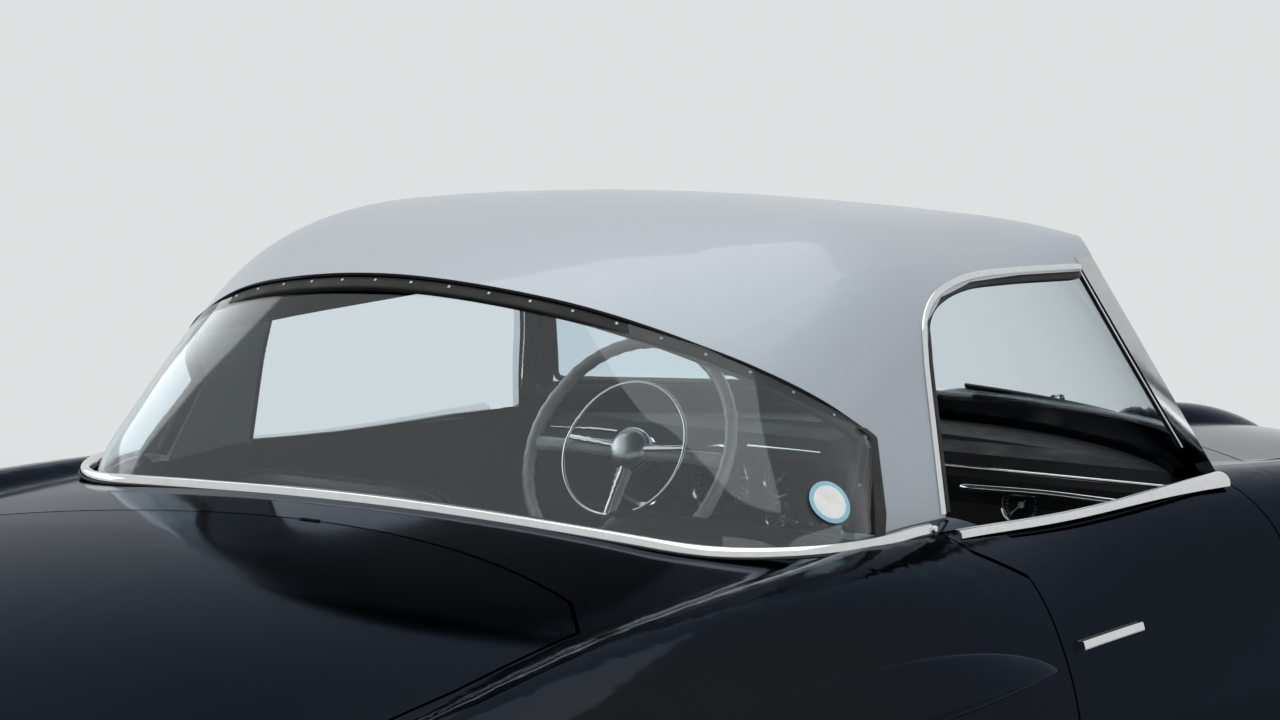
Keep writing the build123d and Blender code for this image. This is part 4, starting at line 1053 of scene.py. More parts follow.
class ROADSTER_OT_screen_posts(RoadsterPart, bpy.types.Operator):
    """Makes the ribbed facings and bright beads of the windscreen's posts, and its gasket."""

    bl_idname = "roadster.screen_posts"
    bl_label = "Windscreen posts"

    def execute(self, context):
        z = np.linspace(0.934, 1.222, 30)
        wide, round_rib, thin = soft_box(0.019, 0.006, 0.0025), rod(0.0065), rod(0.005)
        for name, kind, strips in (
            ("post_facings", "seal_rubber", ((56.6, -0.0145, wide), (58.9, -0.0145, wide),
                                             (60.15, -0.0075, round_rib), (60.15, 0.0035, round_rib))),
            ("post_beads", "chrome", ((60.1, 0.0125, thin), (57.75, -0.0165, thin), (60.1, -0.0135, thin))),
        ):
            swept = []
            for angle, offset, section in strips:
                path, out = self.on_post(z, angle, offset)
                swept.append(sweep(path, section, out))
            make_piece(name, both_sides(*swept), kind)
        self.gasket()
        return {"FINISHED"}

    def gasket(self):
        """The dark rubber round the glass, inside the frame's opening: a round-cornered oblong
        whose width is wrapped round the screen's curve."""
        arc, half_angle, middle_z, height = 0.687, 55.0, 1.0765, 0.259
        corners = rounded_outline(2 * arc * radians(half_angle), height, 0.012)
        path, out = [], []
        for across, rise in even_path(np.vstack([corners, corners[:1]]), 320, closed=True):
            spot, facing = self.on_post(np.array([middle_z + rise]), across / arc * 180 / pi, 0.005)
            path.append(spot[0])
            out.append(facing)
        ring = sweep(np.array(path), soft_box(0.011, 0.008, 0.002), np.array(out), closed=True)
        make_piece("screen_gasket", [ring], "seal_rubber")

    @staticmethod
    def on_post(z, angle, offset):
        """Points up the curved screen at an angle about its centre and an offset from its
        surface: at each height the screen is a circle through two side points and a middle."""
        t = (z - SCREEN_BASE_Z) / (SCREEN_HEAD_Z - SCREEN_BASE_Z)
        x, side, middle = (a + t * (b - a) for a, b in zip(SCREEN_BASE, SCREEN_HEAD))
        sag = side - middle
        radius = (x**2 + sag**2) / (2 * sag)
        a = radians(angle)
        reach = radius + offset
        path = np.stack([reach * sin(a), middle + radius - reach * cos(a), z], axis=1)
        return path, np.array([sin(a), -cos(a), 0.0])


class ROADSTER_OT_tyres(RoadsterPart, bpy.types.Operator):
    """Makes the tyres with ribs, zigzag grooves and shoulder cuts."""

    bl_idname = "roadster.tyres"
    bl_label = "Tyres"

    def execute(self, context):
        for name, (x, y, side) in WHEELS.items():
            carcass = self.carcass(x, y, side)
            tyre = make_piece(f"tread_{name}", [carcass], "tyre_rubber", f"wheel_{name}", merge=False)
            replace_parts(tyre, f"tyre_{name}")
        return {"FINISHED"}

    def carcass(self, x, y, side):
        """The radius at each point of the section, less the tread's depth where a groove runs:
        a groove is a bell curve about a line that zigzags round the tyre."""
        depth, pitches = sizes().tread_depth, sizes().tread_pitches
        steps, half_tread, crown, shoulder_radius = pitches * 7, 0.0585, 0.3445, 0.325
        wall = smooth_path([(0.0605, 0.1905), (0.075, 0.212), (0.0832, 0.252), (0.0815, 0.290),
                            (0.0755, 0.318), (0.068, 0.334), (0.0600, 0.3425)], 22)
        tread_x = np.linspace(half_tread, -half_tread, 47)
        tread = np.stack([tread_x, crown - 0.0022 * (tread_x / half_tread) ** 2], axis=1)
        section = np.vstack([wall, tread, wall[::-1] * [-1, 1], [[-0.055, 0.1905], [0.055, 0.1905]]])
        across, radius = section[:, 0], section[:, 1]
        turn = full_turn(steps)[:, None]
        pitch = (turn * pitches / (2 * pi)) % 1
        wave = np.abs(pitch * 2 - 1) - 0.5
        groove = np.zeros((steps, len(section)))
        for line in (-0.036, -0.013, 0.013, 0.036):
            groove = np.maximum(groove, np.exp(-(((across - line - 0.005 * wave) / 0.0021) ** 4)))
        cut = (pitch < 0.3) & (np.abs(across) > 0.046) & (radius > shoulder_radius)
        groove = np.maximum(groove, cut * 0.8) * (radius > shoulder_radius)
        rings = sum(0.0009 * np.exp(-(((radius - ring) / 0.0016) ** 2)) for ring in (0.232, 0.306))
        r = radius - depth * groove
        offset = across * (1 + rings / 0.08)
        points = np.stack([
            x + side * np.broadcast_to(offset, r.shape),
            y + r * np.cos(turn),
            HUB_Z + r * np.sin(turn),
        ], axis=-1)
        return (points if side == 1 else points[:, ::-1]), True, True


class ROADSTER_OT_wheel_trim(RoadsterPart, bpy.types.Operator):
    """Makes the hub caps, painted discs, rim lips, vents and valves of the wheels; the vents are dark plates
    on the discs, painted shade for the openings.
    """

    bl_idname = "roadster.wheel_trim"
    bl_label = "Wheel trim"

    def execute(self, context):
        cap = [(0.0, 0.0615), (0.012, 0.0612), (0.030, 0.0592), (0.036, 0.0570), (0.040, 0.0562),
               (0.070, 0.0505), (0.098, 0.0415), (0.112, 0.0345), (0.1185, 0.0300), (0.1200, 0.0270),
               (0.1170, 0.0262)]
        disc = [(0.1265, 0.0292), (0.135, 0.0290), (0.160, 0.0225), (0.1735, 0.0198), (0.1735, 0.0188),
                (0.1265, 0.0281), (0.1265, 0.0292)]
        lip = [(0.1830, 0.0605), (0.1835, 0.0640), (0.1870, 0.0655), (0.1925, 0.0650), (0.1940, 0.0630),
               (0.1900, 0.0622), (0.1850, 0.0600), (0.1830, 0.0605)]
        stem = [(0.0, 0.050), (0.0028, 0.050), (0.0034, 0.047), (0.0034, 0.034), (0.0046, 0.031),
                (0.0046, 0.018), (0.0, 0.018)]
        slot_ring, slot_count, valve_reach = 0.1535, 12, 0.171
        for name, (x, y, side) in WHEELS.items():
            axis, body = (side, 0, 0), f"wheel_{name}"
            for part, profile, segments, kind in (
                ("hub_cap", cap, 72, "chrome"), ("disc", disc, 72, "black_paint"),
                ("rim_lip", lip, 96, "chrome"),
            ):
                turned = lathe(profile, (x, y, HUB_Z), axis, segments)
                make_piece(f"{part}_{name}", [turned], kind, body)
            # Dark plates flush in the disc stand for the vent openings: painted shade.
            vent_shade_plates = []
            for k in range(slot_count):
                a = 2 * pi * k / slot_count
                spot = (x + side * 0.0235, y + slot_ring * cos(a), HUB_Z + slot_ring * sin(a))
                place = placement(spot, (0, -sin(a), cos(a)), (0, cos(a), sin(a)))
                vent_shade_plates.append(panel(soft_box(0.030, 0.012, 0.0055, 4), 0.0024, place))
            make_piece(f"vents_{name}", vent_shade_plates, "seal_rubber", body)
            valve = lathe(stem, (x, y + valve_reach, HUB_Z), axis, 12)
            make_piece(f"valve_{name}", [valve], "seal_rubber", body)
        return {"FINISHED"}


class ROADSTER_OT_steering_wheel(RoadsterPart, bpy.types.Operator):
    """Makes the moulded rim, spokes, horn ring and hub of the steering wheel."""

    bl_idname = "roadster.steering_wheel"
    bl_label = "Steering wheel"

    def execute(self, context):
        toward = np.array([0.0, cos(COLUMN_TILT), sin(COLUMN_TILT)])
        over = np.array([0.0, -sin(COLUMN_TILT), cos(COLUMN_TILT)])
        right = np.array([1.0, 0, 0])
        hub = np.array(STEERING_HUB)
        plane = hub + 0.006 * toward

        def outward(angle):
            """The direction from the hub at an angle in the wheel's plane."""
            angle = np.atleast_1d(angle)
            return np.cos(angle)[:, None] * right + np.sin(angle)[:, None] * over

        def assemble(name, surfaces, kind):
            """A piece that turns with the wheel."""
            return make_piece(name, surfaces, kind, "steering_wheel")

        rim_radius, grip, horn_radius, horn_rise = 0.2005, 0.012, 0.120, 0.016
        turn = full_turn(160)
        swell = grip + 0.0007 * np.cos(turn * 44)
        rim_path = plane + rim_radius * outward(turn)
        rim = sweep(rim_path, rod(1, 16), rim_path - plane, closed=True, taper=2 * swell * 0.93)
        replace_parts(assemble("wheel_rim", [rim], "moulded_rim"), "steering_wheel")
        spokes = []
        for angle in (pi, 0.0, -pi / 2):
            s = np.linspace(0.030, 0.192, 12)
            line = plane + s[:, None] * outward(angle) + 0.004 * np.sin(s / 0.192 * pi)[:, None] * toward
            widths = np.interp(s, [0.030, 0.10, 0.192], [1.5, 1.0, 1.25])
            spokes.append(sweep(line, ellipse(0.022, 0.010, 12), toward, taper=widths))
        assemble("wheel_spokes", spokes, "moulded_rim")
        ring = plane + horn_radius * outward(turn[::2]) + horn_rise * toward
        horn = [sweep(ring, rod(0.0062, 10), toward, closed=True)]
        for angle in (pi * 0.97, pi * 0.03, -pi / 2):
            s = np.linspace(0.030, horn_radius, 8)
            rise = np.interp(s, [0.03, 0.07, 0.12], [0.010, 0.0125, horn_rise])
            line = plane + s[:, None] * outward(angle) + rise[:, None] * toward
            horn.append(sweep(line, ellipse(0.010, 0.005, 10), toward))
        assemble("horn_ring", horn, "chrome")
        boss = [(0.0, 0.030), (0.012, 0.0292), (0.024, 0.0262), (0.033, 0.0205), (0.038, 0.012),
                (0.040, 0.004), (0.041, -0.006), (0.034, -0.020), (0.027, -0.026), (0.0, -0.026)]
        trim = [(0.0385, 0.0125), (0.0415, 0.010), (0.0425, 0.0065), (0.0405, 0.004), (0.0385, 0.0125)]
        shaft = [(0.0, 0.0), (0.0098, 0.0), (0.0098, -0.090), (0.0, -0.090)]
        assemble("wheel_hub", [lathe(boss, hub, toward, 48)], "brushed_metal")
        assemble("hub_ring", [lathe(trim, hub, toward, 48)], "chrome")
        assemble("wheel_shaft", [lathe(shaft, hub, toward, 24)], "brushed_metal")
        return {"FINISHED"}


class ROADSTER_OT_seats(RoadsterPart, bpy.types.Operator):
    """Makes the two seats: channelled cushions and backs, their piping and frames."""

    bl_idname = "roadster.seats"
    bl_label = "Seats"

    def execute(self, context):
        for name, sign in SIDES:
            x = sign * SEAT_X
            piping, pads = [], []
            for part, (width, length, thickness), crown, (y, z), (run, climb) in SEAT_PADS:
                place = placement((x, y, z), (1, 0, 0), (0, run, climb))
                pad = self.cushion(width, length, thickness, place, crown)
                pads.append(make_piece(f"seat_{part}_{name}", [pad], "leather", sharp=80))
                loop = self.outline(full_turn(90), width / 2, length / 2, 0.22) * 1.001
                ring = move(np.column_stack([loop, np.full(90, thickness * 0.16)]), place)
                piping.append(sweep(ring, rod(0.007), place[:3, 2], closed=True))
            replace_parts(pads[0], f"seat_{name}")
            make_piece(f"seat_piping_{name}", piping, "seal_rubber")
            rails = []
            for dx in (-0.17, 0.17):
                line = np.array([[x + dx, -0.06 + 0.06 * k, 0.232] for k in range(8)])
                rails.append(sweep(line, soft_box(0.030, 0.026, 0.004), UPWARD))
                for yy in (-0.02, 0.32):
                    foot = np.array([[x + dx, yy, z] for z in (0.225, 0.26, 0.30, 0.315)])
                    rails.append(sweep(foot, soft_box(0.022, 0.012, 0.003), (0, 1, 0)))
            make_piece(f"seat_rails_{name}", rails, "brushed_metal")
        return {"FINISHED"}

    @staticmethod
    def outline(angle, half_width, half_length, square):
        """A rounded rectangle: the powers of cosine and sine pull it out to its corners."""
        c, s = np.cos(angle), np.sin(angle)
        return np.stack([half_width * pulled(c, square) * (1 - 0.012 * c**2),
                         half_length * pulled(s, square) * (1 - 0.012 * s**2)], axis=1)

    def cushion(self, width, length, thickness, place, crown):
        """A closed pad. Around it runs the rounded rectangle, from face to face an oval of a
        high power; the upper face swells to a crown and dips along its sewn channels."""
        angle = full_turn(160)[:, None]
        rise = np.linspace(-pi / 2, pi / 2, 73)[None, :]
        edge = self.outline(angle[:, 0], width / 2, length / 2, 0.30)
        inwards = np.abs(np.cos(rise)) ** 0.42
        x = edge[:, 0:1] * inwards
        y = edge[:, 1:2] * inwards
        z = thickness / 2 * pulled(np.sin(rise), 0.55) + 0 * x
        across, along = x / (width / 2), y / (length / 2)
        top = np.clip(np.sin(rise), 0, 1) ** 0.5
        swell = crown * (1 - across**2) * (1 - along**4)
        count = sizes().seat_channels
        phase = (across * 0.5 + 0.5) * count
        dip = 0.010 * np.exp(-((np.abs((phase + 0.5) % 1 - 0.5) / 0.10) ** 1.4))
        inside = np.clip((0.90 - np.abs(along)) / 0.12, 0, 1) * np.clip((0.95 - np.abs(across)) / 0.10, 0, 1)
        z = z - crown * top * 0.9 + top * (swell - dip * inside)
        return move(np.stack([x, y, z], axis=-1), place), True, False


class ROADSTER_OT_lamps(RoadsterPart, bpy.types.Operator):
    """Makes the bezels of the head lamps, the rings of the tail lamps and the side lamps."""

    bl_idname = "roadster.lamps"
    bl_label = "Lamps"

    def execute(self, context):
        bezel = [(0.0925, 0.010), (0.0925, 0.020), (0.0985, 0.0215), (0.1025, 0.014), (0.1035, 0.000),
                 (0.1035, -0.020), (0.0990, -0.020), (0.0925, 0.010)]
        bezel = lathe(bezel, (0.596, -2.150, 0.598), (0, -1, 0), 72)
        make_piece("headlamp_bezels", both_sides(bezel), "chrome")
        ring = [(0.0435, 0.0), (0.0490, -0.004), (0.0520, -0.014), (0.0515, -0.050), (0.0440, -0.050),
                (0.0435, 0.0)]
        ring = lathe(ring, (0.560, 2.150, 0.518), (0, 1, 0), 48)
        make_piece("tail_lamp_rings", both_sides(ring), "chrome")
        cap = [(0.0, 0.016), (0.014, 0.0145), (0.024, 0.008), (0.028, 0.0), (0.028, -0.012), (0.0, -0.012)]
        spot = solid_hit(skin_of("front_body"), (0.700, -PAST_BUMPERS, 0.470), (0, 1, 0), "side lamps")
        cap = lathe(cap, spot - [0, 0.004, 0], (0.25, -0.95, 0.1), 32)
        make_piece("side_lamps", both_sides(cap), "amber_lens")
        return {"FINISHED"}


class ROADSTER_OT_sticker(RoadsterPart, bpy.types.Operator):
    """Makes the plain round sticker on the rear glass: a disc and a ring without print, laid on
    the glass along the line from the camera."""

    bl_idname = "roadster.sticker"
    bl_label = "Sticker"

    def execute(self, context):
        glass = skin_of("rear_glass")
        eye, aim = np.array(EYE), np.array(STICKER_AIM)
        hit, right, top = (
            solid_hit(glass, eye, unit(aim + shift - eye), "sticker")
            for shift in (np.zeros(3), np.array([0.01, 0, 0]), np.array([0, 0, 0.01]))
        )
        place = placement(hit, unit(right - hit), unit(top - hit))
        out = place[:3, 2] * np.sign(place[1, 2])
        t = full_turn(48)
        for name, outer, inner, kind in (("sticker_rim", 0.0300, 0.0236, "sticker_blue"),
                                         ("sticker_face", 0.0236, 0.0, "dial_white")):
            radii = np.linspace(inner, outer, 6)
            flat = np.stack([np.stack([r * np.cos(t), r * np.sin(t), 0 * t], axis=1) for r in radii])
            flat = move(flat, place)
            laid = hit_grid(glass, flat + out * 0.05, -out, flat) + out * 0.0006
            make_piece(name, [(laid, False, True)], kind)
        return {"FINISHED"}


class ROADSTER_OT_dashboard(RoadsterPart, bpy.types.Operator):
    """Makes the instruments, switches, glove box and bright lines of the dashboard."""

    bl_idname = "roadster.dashboard"
    bl_label = "Dashboard"

    def execute(self, context):
        face = skin_of("dashboard")
        for name, x, z, radius in (
            ("rev_counter", 0.400, 0.800, 0.056), ("speedometer", 0.236, 0.800, 0.056),
            ("fuel_dial", 0.112, 0.812, 0.026), ("oil_dial", 0.112, 0.752, 0.026),
            ("clock", -0.345, 0.812, 0.030),
        ):
            self.dial(name, face, x, z, radius)
        lines = []
        for z in (0.864, 0.728):
            for low, high in ((-0.600, -0.030), (0.030, 0.180), (0.460, 0.600)):
                starts = [(x, BEHIND_DASH, z) for x in np.linspace(low, high, 30)]
                path = all_hits(face, starts, (0, -1, 0))
                if len(path) > 4:
                    lines.append(sweep(path + [0, 0.001, 0], ellipse(0.0065, 0.0045, 8), (0, 1, 0)))
        make_piece("dash_lines", lines, "chrome")
        hit = solid_hit(face, (-0.330, BEHIND_DASH, 0.775), (0, -1, 0), "glove box lid")
        lid = placement(hit + [0, 0.002, 0], (1, 0, 0), UPWARD)
        make_piece("glove_box_lid", [panel(rounded_outline(0.270, 0.062, 0.012), 0.008, lid)], "leather")
        grab = [(-0.560, 0.004, 0.832), (-0.552, 0.030, 0.834), (-0.500, 0.038, 0.836),
                (-0.400, 0.039, 0.838), (-0.300, 0.038, 0.836), (-0.248, 0.030, 0.834),
                (-0.240, 0.004, 0.832)]
        grab = smooth_path(np.array(grab) + [0, hit[1], 0], 60)
        make_piece("grab_rail", [sweep(grab, rod(0.013, 12), UPWARD)], "chrome")
        knob = [(0.0, 0.026), (0.006, 0.025), (0.0085, 0.021), (0.0078, 0.016), (0.0045, 0.012),
                (0.0045, -0.002), (0.0, -0.002)]
        starts = [(-0.075 + 0.030 * k, BEHIND_DASH, 0.748) for k in range(7)]
        spots = all_hits(face, starts, (0, -1, 0))
        make_piece("dash_knobs", [lathe(knob, spot, (0, 1, 0), 20) for spot in spots], "chrome")
        return {"FINISHED"}

    def dial(self, name, face, x, z, radius):
        """One instrument: bezel, face, ring of marks, needle and hub, with a domed glass."""
        spot = solid_hit(face, (x, BEHIND_DASH, z), (0, -1, 0), name) + [0, 0.001, 0]
        axis = (0, 1, 0)
        bezel = [(radius, -0.004), (radius * 1.14, -0.004), (radius * 1.15, 0.006), (radius * 1.08, 0.012),
                 (radius, 0.010), (radius * 0.96, 0.004), (radius, -0.004)]
        make_piece(f"{name}_bezel", [lathe(bezel, spot, axis, 56)], "chrome")
        disc = [(0.0, 0.0015), (radius * 0.99, 0.0015), (radius * 0.99, -0.002), (0.0, -0.002)]
        make_piece(f"{name}_face", [lathe(disc, spot, axis, 56)], "dial_black")
        marks, count, zero_angle, sweep_angle = [], 25, 225, 270
        for k in range(count):
            a = radians(zero_angle - sweep_angle * k / (count - 1))
            long = 0.16 if k % 4 == 0 else 0.09
            middle = radius * (0.90 - long / 2)
            centre = spot + [-cos(a) * middle, 0.0022, sin(a) * middle]
            place = placement(centre, (-cos(a), 0, sin(a)), (sin(a), 0, cos(a)))
            marks.append(panel(soft_box(radius * long, radius * 0.028, radius * 0.010, 1), 0.0008, place))
        make_piece(f"{name}_marks", marks, "dial_white")
        a = radians(zero_angle - 3)
        line = np.array([spot + [-cos(a) * r, 0.004, sin(a) * r]
                         for r in np.linspace(-0.012, radius * 0.78, 6)])
        needle = sweep(line, ellipse(0.0022, 0.0012, 6), axis)
        hub = [(0.0, 0.007), (0.004, 0.006), (0.0055, 0.003), (0.0055, 0.001), (0.0, 0.001)]
        make_piece(f"{name}_needle", [needle, lathe(hub, spot, axis, 16)], "dial_white")
        glass = [(0.0, 0.0105), (radius * 0.5, 0.0098), (radius * 0.97, 0.0075), (radius * 0.97, 0.0067),
                 (0.0, 0.0095)]
        make_piece(f"{name}_glass", [lathe(glass, spot, axis, 40)], "pane")


class ROADSTER_OT_door_furniture(RoadsterPart, bpy.types.Operator):
    """Makes the handles, padded trim panels, armrests and winders of the doors."""

    bl_idname = "roadster.door_furniture"
    bl_label = "Door furniture"

    def execute(self, context):
        for name, sign in SIDES:
            body = f"door_{name}"
            door = skin_of(body)
            self.handle(name, sign, door, body)
            self.card(name, sign, door, body)
        return {"FINISHED"}

    def handle(self, name, sign, door, body):
        """The slim bar handle, on the skin where a ray from outside meets it, over a thin dark strip that is
        painted shadow.
        """
        starts = [(sign * BESIDE_CAR, y, 0.748) for y in np.linspace(0.206, 0.402, 18)]
        spots = all_hits(door, starts, (-sign, 0, 0))
        # The second piece, a thin dark strip a millimetre below the bar, is painted shadow of the handle.
        for part, shift, drop, section, kind in (
            ("handle", 0.004, 0.0, soft_box(0.013, 0.011, 0.003), "chrome"),
            ("handle_shadow_strip", 0.0002, 0.001, soft_box(0.017, 0.002, 0.0008), "seal_rubber"),
        ):
            line = spots + [sign * shift, 0, -drop]
            make_piece(f"{part}_{name}", [sweep(line, section, (sign, 0, 0.3))], kind, body)

    def card(self, name, sign, door, body):
        """The padded trim panel inside, its armrest, pull and winder."""
        y, z = np.meshgrid(np.linspace(-0.270, 0.395, 36), np.linspace(0.315, 0.815, 30), indexing="ij")
        spare = np.stack([0 * y + sign * 0.690, y, z], axis=-1)
        grid = hit_grid(door, spare * [0, 1, 1], (sign, 0, 0), spare)
        level = np.median(np.abs(grid[:, :, 0]))
        grid[:, :, 0] = sign * np.clip(np.abs(grid[:, :, 0]), level - 0.004, level + 0.030)
        u = (y - y[:, 0].mean()) / np.ptp(y) * 2
        v = (z - z[0].mean()) / np.ptp(z) * 2
        edge = np.minimum(1 - np.abs(u), 1 - np.abs(v))
        swell = 0.003 + 0.006 * np.clip(edge / 0.06, 0, 1) ** 0.5
        pocket = 0.004 * np.exp(-((v + 0.15) / 0.02) ** 2) * (np.abs(u) < 0.9)
        front = grid.copy()
        front[:, :, 0] -= sign * (swell - pocket)
        make_piece(f"door_card_{name}", [walled(front, grid + [sign * 0.003, 0, 0])], "leather", body)
        inset = level - 0.030
        path = [(0.024, -0.10, 0.600), (0.004, -0.06, 0.606), (0, 0.05, 0.610), (0, 0.16, 0.610),
                (0.006, 0.26, 0.606), (0.024, 0.30, 0.600)]
        path = (np.array(path) + [inset, 0, 0]) * [sign, 1, 1]
        rest = sweep(smooth_path(path, 40), soft_box(0.046, 0.034, 0.014), UPWARD)
        make_piece(f"armrest_{name}", [rest], "leather", body)
        pivot_y, pivot_z, inward = -0.020, 0.500, (-sign, 0, 0)
        knob = [(0.0, 0.012), (0.016, 0.011), (0.021, 0.004), (0.021, -0.004), (0.0, -0.004)]
        grip = [(0.0, 0.022), (0.008, 0.020), (0.0105, 0.012), (0.007, 0.0), (0.0, 0.0)]
        arm = np.array([[sign * (level - 0.018), pivot_y - 0.075 * k, pivot_z - 0.02 * k]
                        for k in np.linspace(0, 1, 6)])
        winder = [lathe(knob, (sign * (level - 0.006), pivot_y, pivot_z), inward, 24),
                  sweep(arm, ellipse(0.013, 0.006, 8), (sign, 0, 0)), lathe(grip, arm[-1], inward, 20)]
        make_piece(f"winder_{name}", winder, "chrome", body)


class ROADSTER_OT_cabin(RoadsterPart, bpy.types.Operator):
    """Makes the gear lever and its boot, the pedals and the headlining."""

    bl_idname = "roadster.cabin"
    bl_label = "Cabin"

    def execute(self, context):
        base = solid_hit(skin_of("floor_pan"), (0.0, -0.200, 0.70), (0, 0, -1), "gear lever")
        boot = [(0.048, 0.0), (0.046, 0.006), (0.034, 0.018), (0.030, 0.026), (0.020, 0.040), (0.012, 0.052),
                (0.0, 0.052)]
        make_piece("gear_boot", [lathe(boot, base, UPWARD, 32)], "leather")
        lever = base + [(0, 0, 0.03), (0, 0.010, 0.11), (0, 0.035, 0.20), (0, 0.045, 0.245)]
        lever = smooth_path(lever, 24)
        knob = [(0.0, 0.036), (0.010, 0.035), (0.019, 0.028), (0.022, 0.018), (0.018, 0.006), (0.009, -0.004),
                (0.0, -0.004)]
        make_piece("gear_lever", [sweep(lever, rod(0.011, 10), (1, 0, 0))], "chrome")
        make_piece("gear_knob", [lathe(knob, lever[-1], (0, 0.2, 1), 28)], "moulded_rim")
        pads, arms = [], []
        for x in (0.235, 0.320, 0.405):
            spot = np.array([x, -0.760, 0.395])
            place = placement(spot, (1, 0, 0), (0, -0.45, 0.89))
            pads.append(panel(rounded_outline(0.056, 0.066, 0.010), 0.012, place))
            arm = smooth_path(spot + [(0, -0.004, 0), (0, -0.05, 0.07), (0, -0.105, 0.16)], 12)
            arms.append(sweep(arm, ellipse(0.014, 0.008, 8), (1, 0, 0)))
        make_piece("pedal_pads", pads, "seal_rubber")
        make_piece("pedal_arms", arms, "brushed_metal")
        self.headlining(context)
        return {"FINISHED"}

    def headlining(self, context):
        """The cloth under the roof: points where rays from below meet it, lowered a little."""
        y, x = np.meshgrid(np.linspace(-0.42, 0.70, 56), np.linspace(-0.50, 0.50, 56), indexing="ij")
        spare = np.stack([x, y, 0 * x], axis=-1)
        grid = hit_grid(skin_of("hardtop"), spare + [0, 0, 1.10], UPWARD, spare)
        held = grid[:, :, 2] > 0
        rows = held.all(axis=1)
        first, last = np.argmax(rows), len(rows) - 1 - np.argmax(rows[::-1])
        grid = grid[first:last + 1]
        if len(grid) < 10:
            raise RuntimeError("the headlining finds no roof above it")
        make_piece("headlining", [walled(grid - [0, 0, 0.007], grid - [0, 0, 0.003])], "headlining")


